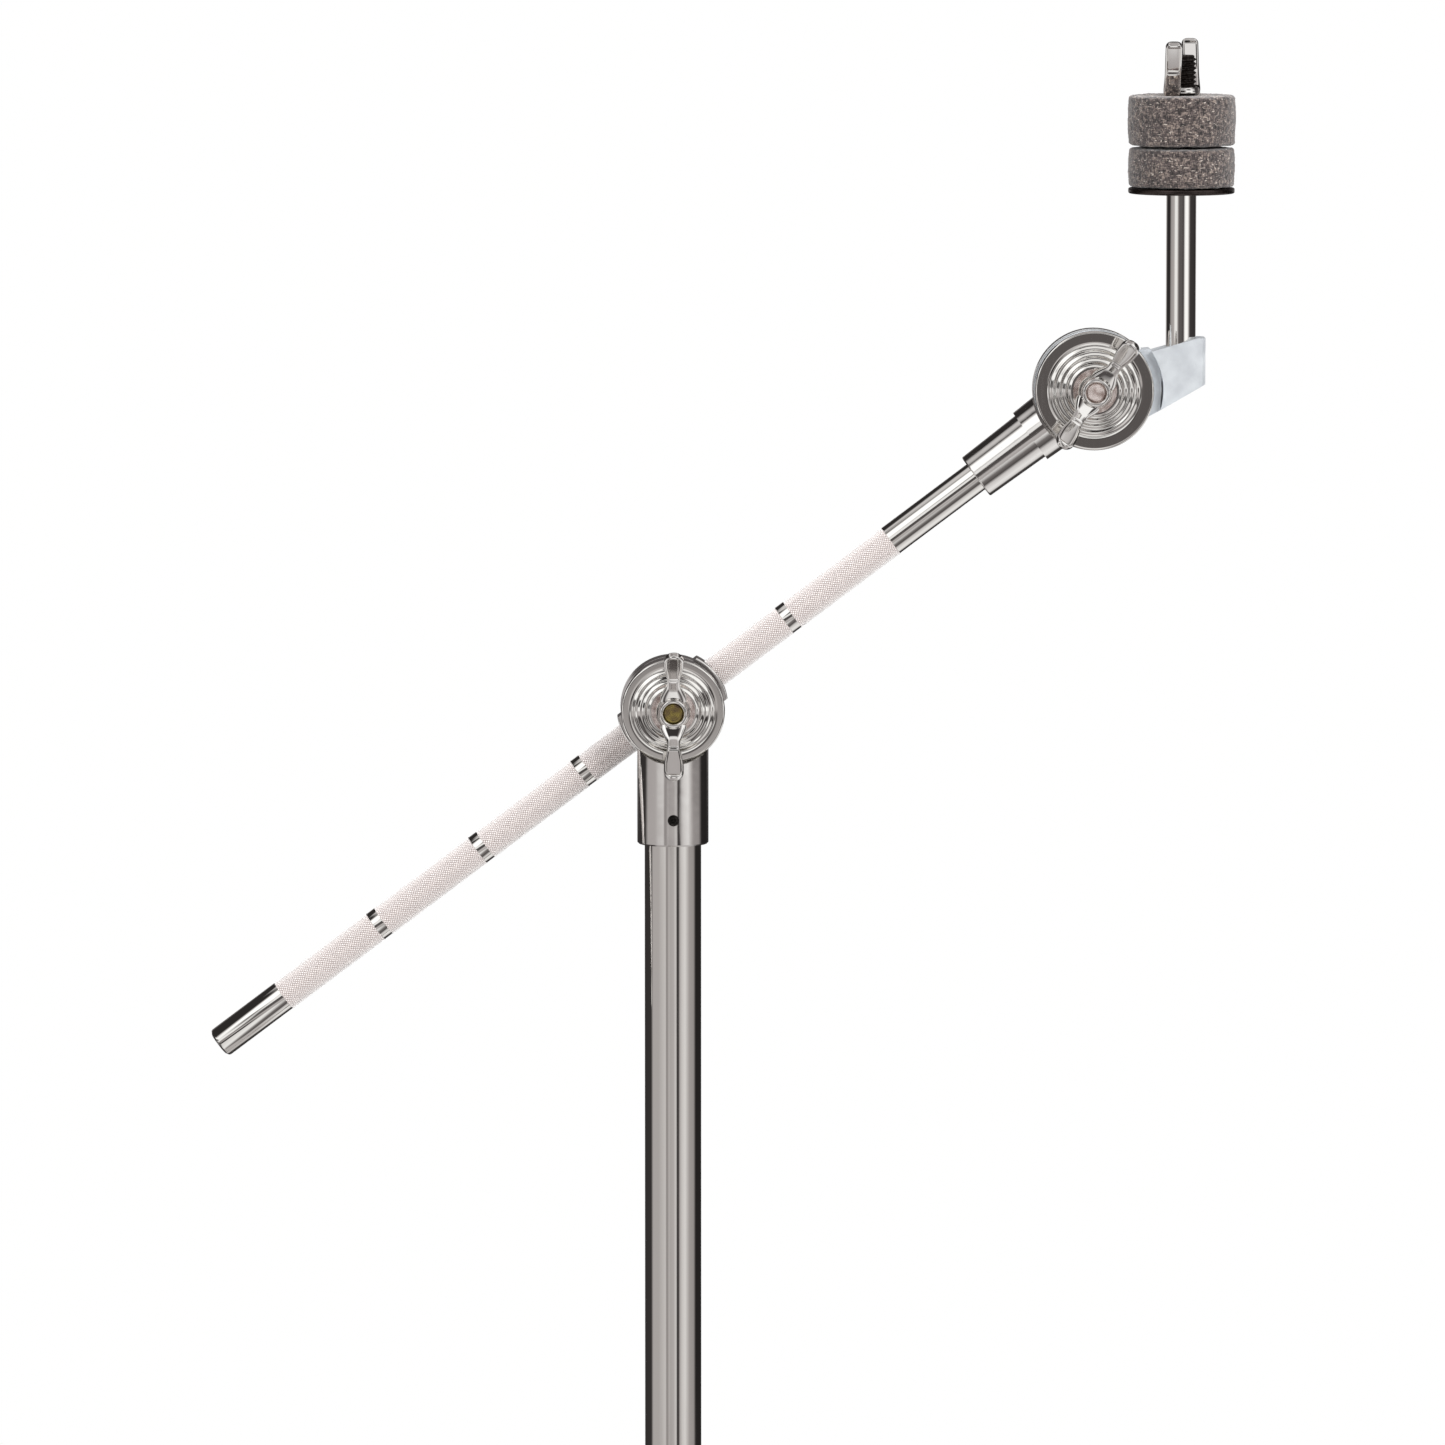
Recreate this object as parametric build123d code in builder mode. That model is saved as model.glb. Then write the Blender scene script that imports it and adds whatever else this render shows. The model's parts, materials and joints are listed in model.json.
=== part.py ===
from build123d import *
from math import cos, radians, sin
import os

# Cymbal boom stand, in millimetres: a double-braced tripod, two telescoping tubes, a boom
# tilter, a knurled boom arm, a cymbal tilter and a cymbal rod with two felts.
# The origin is on the tube axis at floor level, +Z is up and the boom leans towards +X.

os.makedirs("parts", exist_ok=True)

# ---------------------------------------------------------------- driving dimensions
# Fits: all are radial or one-sided gaps.
seat_gap = 0.05
running_gap = 0.06
face_gap = 0.05
bolt_gap = 0.08
soft_gap = 0.4

# Tubes
base_tube_radius = 14.3
base_tube_wall = 1.15
mid_tube_wall = 1.15
top_tube_wall = 1.2
tube_play = 0.45
mid_tube_radius = base_tube_radius - base_tube_wall - tube_play
top_tube_radius = mid_tube_radius - mid_tube_wall - tube_play
base_tube_reach = 25.4
base_tube_top = 540.0
mid_tube_rise = 112.0
mid_tube_top = base_tube_top + mid_tube_rise
tube_insertion = 230.0
tilter_height = 1000.0
plug_depth = 14.0
plug_cap = 3.0
plug_edge_round = 1.5

# Clamps and memory locks
clamp_wall = 4.2
clamp_grip = 38.0
clamp_rise = 18.0
bush_flange_height = 2.0
bush_flange_lip = 2.2
ear_reach = 20.0
ear_width = 15.0
ear_bolt_offset = 12.0
clamp_slit = 2.5
ear_corner = 5.0
ear_step = 1.0
clamp_edge = 1.5
bush_edge = 0.6
bolt_overrun = 4.0
lock_wall = 5.5
lock_height = 18.0
lock_gap = 0.3
lock_slit = 2.0
lock_ear_reach = 16.0
lock_screw_offset = 11.5
lock_ear_width = 12.0
lock_screw_radius = 3.0
lock_screw_head = 6.0
lock_screw_flange = 1.4
lock_screw_flange_lip = 2.0
lock_screw_overrun = 2.0
lock_edge = 1.0

# Tripod
leg_count = 3
leg_spread_angle = 47.0
leg_length = 410.0
link_length = 150.0
leg_pivot_set = 15.7
leg_pivot_radius = base_tube_radius + leg_pivot_set
foot_rise = 10.3807
leg_pivot_height = leg_length * cos(radians(leg_spread_angle)) + foot_rise
leg_width = 18.0
leg_depth = 16.0
leg_sheet = 1.5
leg_web_trim = 24.0
brace_window = 58.0
brace_window_shift = 8.0
brace_depth = 12.0
brace_sheet = 1.5
brace_web_trim = 16.0
side_gap = 0.3
rivet_radius = 2.5
rivet_head_radius = 4.6
rivet_head_height = 1.8
rivet_head_taper = 25.0
leg_collar_wall = 6.7
leg_collar_radius = base_tube_radius + leg_collar_wall
leg_collar_drop = 22.0
leg_collar_rise = 45.0
leg_collar_bolt_rise = 30.0
collar_boss_radius = 8.0
collar_boss_reach = 30.0
collar_bush_wall = 1.6
lug_end_radius = 6.0
lug_sink = 1.0
collar_round = 2.0
lower_collar_wall = 5.2
lower_collar_radius = base_tube_radius + lower_collar_wall
lower_collar_height = 32.0
foot_wall = 3.0
foot_grip = 38.0
foot_toe = 10.0
foot_heel_set = 2.0
foot_sole_set = 4.0

# Boom tilter, measured along its pivot axis from the tube axis (-Y is the front)
arm_radius = 6.35
arm_skin = 0.2
arm_plain_radius = arm_radius - arm_skin
arm_set = 14.65
arm_depth = arm_set + arm_radius
tilter_radius = 20.4
tilter_front = -4.7
tilter_split = 6.0
tilter_disc_thickness = 1.2
tilter_back_set = 2.4
tilter_back = arm_depth - tilter_back_set
tilter_sleeve_wall = 2.9
tilter_sleeve_radius = top_tube_radius + tilter_sleeve_wall
tilter_sleeve_drop = 52.6
tilter_tube_stop = 24.0
tilter_screw_drop = 42.2
tilter_lip_reach = 22.0
tilter_lip_width = 20.0
tilter_lip_room = 0.4
tilter_neck = 4.0
tilter_edge = 0.6
rotor_edge_round = 0.8
friction_inset = 1.4
cover_sheet = 1.2
cover_rise = 1.6
cover_rings = (15.5, 13.4, 11.8, 9.4)
cover_edge_round = 0.7
cover_ring_taper = 20.0
spring_sheet = 0.6
pivot_bolt_radius = 4.0
bolt_recess = 1.6
bolt_point = 0.8
bolt_point_taper = 30.0
eye_edge_round = 0.5
eye_room = 0.24
eye_wall = 4.05
eye_radius = arm_radius + eye_wall
eye_shoulder = 0.8
eye_width = 2 * (pivot_bolt_radius + eye_shoulder)
set_screw_radius = 2.2
set_screw_length = 2.0
set_screw_depth = 0.7
set_screw_socket = 1.2
set_screw_socket_share = 0.6

# Boom arm, measured along the arm from the boom tilter's pivot axis
arm_angle = 36.9
arm_rear_end = -224.3
arm_knurl_start = -192.1
arm_knurl_end = 107.9
arm_ring_last = 57.4
arm_ring_pitch = 50.5
arm_ring_count = 5
arm_ring_width = 4.0
arm_end_chamfer = 1.5
arm_end_room = 1.0

# Cymbal tilter
socket_start = 149.8
socket_step = 176.5
socket_wall = 3.0
socket_flare = 0.65
socket_start_radius = arm_radius + socket_wall
socket_end_radius = socket_start_radius + socket_flare
socket_depth = 23.0
socket_screw_setback = 10.0
socket_screw_sink = 0.2
neck_edge_round = 0.6
disc_edge_round = 1.0
disc_trim = 0.5
neck_flange = 2.0
neck_radius_small = socket_start_radius + neck_flange
neck_radius_large = socket_end_radius + neck_flange
cymbal_axis_distance = 207.5
cymbal_cover_radius = 23.5
cymbal_disc_radius = 24.0
cymbal_front_step = 1.0
cymbal_front_inset = socket_end_radius + cymbal_front_step
cymbal_disc_thickness = 6.8
cymbal_friction_thickness = 1.0
cymbal_back_thickness = 7.0
cymbal_cover_rings = (17.1, 14.5, 12.2, 9.8)
cymbal_bolt_head_radius = 8.0
cymbal_bolt_head_height = 3.2
cymbal_bolt_head_round = 1.5
cymbal_bolt_sink = 1.2
cymbal_lap = 1.0
block_inner_radius = 27.1
block_thickness = 14.0
block_recess = 3.0
block_overlap = 0.2
block_disc_gap = 0.6
block_edge = 1.2
block_screw_rise = 11.0
block_screw_sink = 2.6
block_screw_length = 2.5
rod_offset = 34.2

# Cymbal rod and what it carries, measured up from the cymbal tilter's axis
rod_radius = 5.9
thread_radius = 5.7
rod_bottom = 2.0
rod_shoulder = 77.2
rod_top = 131.4
washer_radius = 20.9
washer_thickness = 2.2
lower_felt_radius = 21.2
lower_felt_height = 16.0
upper_felt_radius = 21.4
upper_felt_height = 20.2
felt_bore_gap = 0.5
felt_edge = 2.2
rod_tip_chamfer = 1.0
washer_edge_round = 0.7

# Wing nuts and wing bolts
nut_washer_radius = 8.6
nut_washer_thickness = 1.2
hub_base_radius = 7.2
hub_face_radius = 6.2
tilter_hub_height = 8.6
tilter_nut_height = 20.6
seat_nut_height = 21.6
seat_hub_height = 4.0
seat_hub_radius = 8.2
seat_hub_taper = 0.8
seat_wing_span = 40.0
seat_wing_offset = -3.6
wing_span = 48.5
wing_root_radius = 4.5
wing_root_height = 3.6
wing_tip_width = 7.0
wing_root_width = 5.4
wing_thickness = 3.2
wing_panel_depth = 0.5
wing_panel_margin = 1.2
wing_edge_round = 0.5
wing_panel_start = 0.42
hub_flank = 0.35
bolt_end_chamfer = 0.8
upright_wing_turn = 90.0
cymbal_wing_turn = 55.0
seat_wing_turn = 90.0

# ---------------------------------------------------------------- derived places
mid_tube_bottom = base_tube_top - tube_insertion
top_tube_bottom = mid_tube_top - tube_insertion
top_tube_top = tilter_height - tilter_tube_stop
clamp_bolt_rise = clamp_rise / 2

lower_pivot_height = leg_pivot_height - 2 * link_length * cos(radians(leg_spread_angle))
base_tube_bottom = lower_pivot_height - base_tube_reach
brace_width = leg_width - 2 * (leg_sheet + side_gap)
leg_lug_width = leg_width - 2 * (leg_sheet + side_gap)
brace_lug_width = brace_width - 2 * (brace_sheet + side_gap)

arm_plane = Plane(
    origin=(0, arm_depth, tilter_height),
    x_dir=(0, 1, 0),
    z_dir=(cos(radians(arm_angle)), 0, sin(radians(arm_angle))),
)
cymbal_x = cymbal_axis_distance * cos(radians(arm_angle))
cymbal_z = tilter_height + cymbal_axis_distance * sin(radians(arm_angle))
cymbal_front = arm_depth - cymbal_front_inset
cymbal_split = cymbal_front + cover_sheet + cymbal_disc_thickness - cymbal_lap
cymbal_socket_front = cymbal_split + cymbal_friction_thickness + face_gap
cymbal_back = cymbal_socket_front + cymbal_back_thickness
rod_x = cymbal_x + rod_offset
rod_y = cymbal_front + cover_sheet + block_thickness / 2

washer_base = cymbal_z + rod_shoulder
lower_felt_base = washer_base + washer_thickness
upper_felt_base = lower_felt_base + lower_felt_height + soft_gap
upper_felt_top = upper_felt_base + upper_felt_height


def front_plane(x, z, depth):
    """Plane facing the front (-Y) at this depth, with local x along +X and local y up."""
    return Plane(origin=(x, depth, z), x_dir=(1, 0, 0), z_dir=(0, -1, 0))


def radial_plane(azimuth):
    """Upright plane through the tube axis: local x points outwards and local y points up."""
    out = radians(azimuth)
    return Plane(origin=(0, 0, 0), x_dir=(cos(out), sin(out), 0), z_dir=(sin(out), -cos(out), 0))


def save(piece, name):
    """Label a finished piece and write it to its own STEP file."""
    piece.part.label = name
    export_step(piece.part, f"parts/{name}.step")


# ---------------------------------------------------------------- shared shapes
def tube(name, radius, wall, bottom, top):
    """Plain round tube on the stand's axis."""
    with BuildPart() as piece:
        with BuildSketch(Plane.XY.offset(bottom)):
            Circle(radius)
            Circle(radius - wall, mode=Mode.SUBTRACT)
        extrude(amount=top - bottom)
    save(piece, name)


def wings(turn, total_height, hub_height, hub_radius, face_radius, span=wing_span, offset=0.0):
    """Hub with two raised paddle wings, standing on local Z = 0."""
    tip_radius = span / 2
    rise = total_height - wing_root_height
    reach = tip_radius - wing_root_radius
    slope = (reach**2 + rise**2) ** 0.5
    lean = Vector(reach / slope, 0, rise / slope)
    across = Vector(-lean.Z, 0, lean.X)
    paddle = Plane(
        origin=(wing_root_radius, offset, wing_root_height),
        x_dir=(lean.X, lean.Y, lean.Z),
        z_dir=(across.X, across.Y, across.Z),
    )
    tip = slope - wing_tip_width / 2
    panel_start = slope * wing_panel_start
    panel_width = wing_tip_width - 2 * wing_panel_margin
    with BuildPart() as wing:
        with BuildSketch(paddle):
            with Locations((tip, 0)):
                Circle(wing_tip_width / 2)
            with BuildLine():
                Polyline(
                    (0, -wing_root_width / 2),
                    (tip, -wing_tip_width / 2),
                    (tip, wing_tip_width / 2),
                    (0, wing_root_width / 2),
                    close=True,
                )
            make_face()
        extrude(amount=wing_thickness / 2, both=True)
        fillet(wing.edges().filter_by(GeomType.CIRCLE), radius=wing_edge_round)
        with BuildSketch(paddle.offset(wing_thickness / 2)) as panel:
            with Locations(((tip + panel_start) / 2, 0)):
                SlotOverall(tip - panel_start + panel_width, panel_width)
        extrude(amount=-wing_panel_depth, mode=Mode.SUBTRACT)
        with BuildSketch(paddle.offset(-wing_thickness / 2)):
            add(panel.sketch_local)
        extrude(amount=wing_panel_depth, mode=Mode.SUBTRACT)
    with BuildPart() as body:
        with BuildSketch(Plane.XZ):
            with BuildLine():
                Polyline(
                    (0, 0),
                    (hub_radius, 0),
                    (hub_radius, hub_height * hub_flank),
                    (face_radius, hub_height),
                    (0, hub_height),
                    close=True,
                )
            make_face()
        revolve(axis=Axis.Z)
        add(wing.part)
        add(Rot(0, 0, 180) * wing.part)
    return Rot(0, 0, turn) * body.part


def wing_nut(name, plane, turn, bore, *head):
    """Wing nut whose seat lies on the plane and whose wings rise along the plane's normal."""
    with BuildPart() as piece:
        add(plane.location * wings(turn, *head))
        with BuildSketch(plane):
            Circle(bore)
        extrude(amount=head[0], mode=Mode.SUBTRACT)
    save(piece, name)


def wing_bolt(name, plane, turn, shank):
    """Wing bolt whose head sits on the plane and whose shank runs back through it."""
    with BuildPart() as piece:
        add(plane.location * wings(turn, tilter_nut_height, tilter_hub_height, hub_base_radius,
                                   hub_face_radius))
        with BuildSketch(plane):
            Circle(pivot_bolt_radius)
        extrude(amount=-shank)
        chamfer(piece.faces().sort_by(plane_axis(plane))[0].edges(), length=bolt_end_chamfer)
    save(piece, name)


def plane_axis(plane):
    """Axis along a plane's normal."""
    return Axis(plane.origin, plane.z_dir)


def set_screw(name, plane, length):
    """Grub screw with a hex socket, flush with the plane."""
    with BuildPart() as piece:
        with BuildSketch(plane):
            Circle(set_screw_radius)
        extrude(amount=-length)
        with BuildSketch(plane):
            RegularPolygon(radius=set_screw_socket, side_count=6)
        extrude(amount=-length * set_screw_socket_share, mode=Mode.SUBTRACT)
    save(piece, name)


def ring_cover(name, x, z, front, radius, rings, bore):
    """Pressed cover: a flat rim with rings that step forward towards the wing nut."""
    step = cover_rise / (len(rings) - 1)
    with BuildPart() as piece:
        with BuildSketch(front_plane(x, z, front + cover_sheet)):
            Circle(radius)
        extrude(amount=cover_sheet)
        fillet(piece.edges().filter_by(GeomType.CIRCLE).sort_by(Axis.Y)[0], radius=cover_edge_round)
        for level, ring in enumerate(rings[:-1]):
            with BuildSketch(front_plane(x, z, front - level * step)):
                Circle(ring)
            extrude(amount=step, taper=cover_ring_taper)
            with BuildSketch(front_plane(x, z, front + cover_sheet - level * step)):
                Circle(ring - cover_sheet)
            extrude(amount=step, mode=Mode.SUBTRACT)
        with BuildSketch(front_plane(x, z, front + cover_sheet)):
            Circle(bore)
        extrude(amount=cover_sheet + cover_rise, mode=Mode.SUBTRACT)
    save(piece, name)


def cone_washer(name, x, z, front, inner, outer):
    """Conical spring washer pushing the cover away from the casting."""
    height = cover_rise - face_gap
    sheet = spring_sheet
    with BuildPart() as piece:
        with BuildSketch(Plane(origin=(x, front, z), x_dir=(1, 0, 0), z_dir=(0, 0, 1))):
            with BuildLine():
                Polyline(
                    (inner, -height),
                    (inner + sheet, -height),
                    (outer, -sheet),
                    (outer, 0),
                    (outer - sheet, 0),
                    (inner, sheet - height),
                    close=True,
                )
            make_face()
        revolve(axis=Axis((x, 0, z), (0, 1, 0)))
    save(piece, name)


# ---------------------------------------------------------------- tubes
tube("base_tube", base_tube_radius, base_tube_wall, base_tube_bottom, base_tube_top)
tube("mid_tube", mid_tube_radius, mid_tube_wall, mid_tube_bottom, mid_tube_top)
tube("top_tube", top_tube_radius, top_tube_wall, top_tube_bottom, top_tube_top)

with BuildPart() as base_tube_plug:
    with BuildSketch(Plane.XY.offset(base_tube_bottom)):
        Circle(base_tube_radius - base_tube_wall - seat_gap)
    extrude(amount=plug_depth)
    with BuildSketch(Plane.XY.offset(base_tube_bottom)):
        Circle(base_tube_radius)
    extrude(amount=-plug_cap)
    fillet(base_tube_plug.edges().group_by(Axis.Z)[0], radius=plug_edge_round)
save(base_tube_plug, "base_tube_plug")


# ---------------------------------------------------------------- tube clamps
def tube_clamp(name, outer_radius, inner_radius, tube_top):
    """Split clamp on a tube's top end, with its bush and wing bolt."""
    body_radius = outer_radius + clamp_wall
    ear_x = -(outer_radius + ear_bolt_offset)
    with BuildPart() as clamp:
        with BuildSketch(Plane.XY.offset(tube_top - clamp_grip)):
            Circle(body_radius)
        extrude(amount=clamp_grip + clamp_rise)
        with BuildSketch(Plane.XY.offset(tube_top + ear_step)):
            with Locations((-(outer_radius + ear_reach / 2), 0)):
                Rectangle(ear_reach, ear_width)
        extrude(amount=clamp_rise - 2 * ear_step)
        fillet(clamp.edges().filter_by(Axis.Y).sort_by(Axis.X)[:2], radius=ear_corner)
        chamfer(clamp.edges().group_by(Axis.Z)[0], length=clamp_edge)
        with BuildSketch(Plane.XY.offset(tube_top - clamp_grip)):
            Circle(outer_radius + seat_gap)
        extrude(amount=clamp_grip + clamp_rise, mode=Mode.SUBTRACT)
        with BuildSketch(Plane.XY.offset(tube_top)):
            with Locations((-(outer_radius + ear_reach) / 2, 0)):
                Rectangle(outer_radius + ear_reach + 1, clamp_slit)
        extrude(amount=clamp_rise, mode=Mode.SUBTRACT)
        with BuildSketch(front_plane(ear_x, tube_top + clamp_bolt_rise, ear_width)):
            Circle(pivot_bolt_radius + bolt_gap)
        extrude(amount=2 * ear_width, mode=Mode.SUBTRACT)
    save(clamp, f"{name}_clamp")

    with BuildPart() as bush:
        with BuildSketch(Plane.XY.offset(tube_top + face_gap)):
            Circle(outer_radius)
        extrude(amount=clamp_rise)
        with BuildSketch(Plane.XY.offset(tube_top + clamp_rise + face_gap)):
            Circle(outer_radius + bush_flange_lip)
        extrude(amount=bush_flange_height)
        chamfer(bush.edges().group_by(Axis.Z)[-1], length=bush_edge)
        with BuildSketch(Plane.XY.offset(tube_top)):
            Circle(inner_radius + running_gap)
        extrude(amount=clamp_rise + 2 * bush_flange_height, mode=Mode.SUBTRACT)
    save(bush, f"{name}_clamp_bush")

    seat = front_plane(ear_x, tube_top + clamp_bolt_rise, -ear_width / 2 - face_gap)
    wing_bolt(f"{name}_clamp_wing_bolt", seat, 0, ear_width + bolt_overrun)


def memory_lock(name, radius, base):
    """Split collar that keeps a tube's height setting, with its square-headed screw."""
    ear_x = radius + lock_screw_offset
    with BuildPart() as lock:
        with BuildSketch(Plane.XY.offset(base)):
            Circle(radius + lock_wall)
            with Locations((radius + lock_ear_reach / 2, 0)):
                Rectangle(lock_ear_reach, lock_ear_width)
        extrude(amount=lock_height)
        chamfer(lock.edges().group_by(Axis.Z)[-1], length=lock_edge)
        with BuildSketch(Plane.XY.offset(base)):
            Circle(radius + running_gap)
            with Locations(((radius + lock_ear_reach) / 2, 0)):
                Rectangle(radius + lock_ear_reach + 1, lock_slit)
        extrude(amount=lock_height, mode=Mode.SUBTRACT)
        with BuildSketch(front_plane(ear_x, base + lock_height / 2, lock_ear_width)):
            Circle(lock_screw_radius + bolt_gap)
        extrude(amount=2 * lock_ear_width, mode=Mode.SUBTRACT)
    save(lock, name)

    seat = front_plane(ear_x, base + lock_height / 2, -lock_ear_width / 2 - face_gap)
    with BuildPart() as screw:
        with BuildSketch(seat):
            Circle(lock_screw_radius)
        extrude(amount=-lock_ear_width - lock_screw_overrun)
        with BuildSketch(seat):
            Circle(lock_screw_radius + lock_screw_flange_lip)
        extrude(amount=lock_screw_flange)
        with BuildSketch(seat.offset(lock_screw_flange)):
            Rectangle(lock_screw_head, lock_screw_head)
        extrude(amount=lock_screw_head)
    save(screw, f"{name}_screw")


tube_clamp("base", base_tube_radius, mid_tube_radius, base_tube_top)
tube_clamp("mid", mid_tube_radius, top_tube_radius, mid_tube_top)
lock_rise = clamp_rise + bush_flange_height + face_gap + lock_gap
memory_lock("mid_tube_lock", mid_tube_radius, base_tube_top + lock_rise)
memory_lock("top_tube_lock", top_tube_radius, mid_tube_top + lock_rise)


# ---------------------------------------------------------------- tripod
leg_azimuths = [360.0 / leg_count * index for index in range(leg_count)]
spread = radians(leg_spread_angle)


def pivot_lugs(pivot_height, width, end_radius):
    """One lug per leg, reaching out to the pivot circle and drilled for its rivet."""
    inset = base_tube_radius + lug_sink
    with BuildPart() as lugs:
        for azimuth in leg_azimuths:
            with BuildSketch(radial_plane(azimuth)):
                with Locations(((leg_pivot_radius + inset) / 2, pivot_height)):
                    Rectangle(leg_pivot_radius - inset, 2 * end_radius)
                with Locations((leg_pivot_radius, pivot_height)):
                    Circle(end_radius)
                    Circle(rivet_radius + seat_gap, mode=Mode.SUBTRACT)
            extrude(amount=width / 2, both=True)
    return lugs.part


def pivot_rivets(name, pivot_height, grip):
    """One domed rivet per leg through a lug and the flanges beside it."""
    with BuildPart() as rivets:
        for azimuth in leg_azimuths:
            with BuildSketch(radial_plane(azimuth)):
                with Locations((leg_pivot_radius, pivot_height)):
                    Circle(rivet_radius)
            extrude(amount=grip / 2 + face_gap, both=True)
            for side in (-1, 1):
                plane = radial_plane(azimuth).offset(side * (grip / 2 + face_gap))
                with BuildSketch(plane):
                    with Locations((leg_pivot_radius, pivot_height)):
                        Circle(rivet_head_radius)
                extrude(amount=side * rivet_head_height, taper=rivet_head_taper)
    save(rivets, name)


boss = Plane(origin=(0, 0, leg_pivot_height + leg_collar_bolt_rise), x_dir=(0, 1, 0), z_dir=(-1, 0, 0))

with BuildPart() as leg_collar:
    with BuildSketch(Plane.XY.offset(leg_pivot_height - leg_collar_drop)):
        Circle(leg_collar_radius)
    extrude(amount=leg_collar_drop + leg_collar_rise)
    fillet(leg_collar.edges().filter_by(GeomType.CIRCLE), radius=collar_round)
    add(pivot_lugs(leg_pivot_height, leg_lug_width, lug_end_radius))
    with BuildSketch(boss):
        Circle(collar_boss_radius)
    extrude(amount=collar_boss_reach)
    with BuildSketch(Plane.XY.offset(leg_pivot_height - leg_collar_drop)):
        Circle(base_tube_radius + running_gap + collar_bush_wall + seat_gap)
    extrude(amount=leg_collar_drop + leg_collar_rise, mode=Mode.SUBTRACT)
    with BuildSketch(boss):
        Circle(pivot_bolt_radius + bolt_gap)
    extrude(amount=collar_boss_reach, mode=Mode.SUBTRACT)
save(leg_collar, "leg_collar")

with BuildPart() as leg_collar_bush:
    with BuildSketch(Plane.XY.offset(leg_pivot_height - leg_collar_drop)):
        Circle(base_tube_radius + running_gap + collar_bush_wall)
        Circle(base_tube_radius + running_gap, mode=Mode.SUBTRACT)
    extrude(amount=leg_collar_drop + leg_collar_rise)
    with BuildSketch(boss):
        Circle(pivot_bolt_radius + bolt_gap)
    extrude(amount=collar_boss_reach, mode=Mode.SUBTRACT)
save(leg_collar_bush, "leg_collar_bush")

wing_bolt(
    "leg_collar_wing_bolt",
    boss.offset(collar_boss_reach + face_gap),
    90,
    collar_boss_reach - base_tube_radius - running_gap,
)
pivot_rivets("leg_pivot_rivets", leg_pivot_height, leg_width)

with BuildPart() as lower_collar:
    with BuildSketch(Plane.XY.offset(lower_pivot_height - lower_collar_height / 2)):
        Circle(lower_collar_radius)
    extrude(amount=lower_collar_height)
    fillet(lower_collar.edges().filter_by(GeomType.CIRCLE), radius=collar_round)
    add(pivot_lugs(lower_pivot_height, brace_lug_width, brace_depth / 2 - lug_sink))
    with BuildSketch(Plane.XY.offset(lower_pivot_height - lower_collar_height / 2)):
        Circle(base_tube_radius + seat_gap)
    extrude(amount=lower_collar_height, mode=Mode.SUBTRACT)
save(lower_collar, "lower_collar")
pivot_rivets("brace_pivot_rivets", lower_pivot_height, brace_width)


def along(start, direction, distance):
    """Point at this distance from a start point in a flat plane."""
    return (start[0] + direction[0] * distance, start[1] + direction[1] * distance)


leg_pivot = (leg_pivot_radius, leg_pivot_height)
brace_pivot = (leg_pivot_radius, lower_pivot_height)
leg_way = (sin(spread), -cos(spread))
brace_way = (sin(spread), cos(spread))
leg_slope = leg_spread_angle - 90
brace_slope = 90 - leg_spread_angle


def channel_cut(start, way, slope, middle, length, width):
    """Rectangle in line with a channel, centred this far along it."""
    with Locations(Location(along(start, way, middle), slope)):
        Rectangle(length, width)


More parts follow.
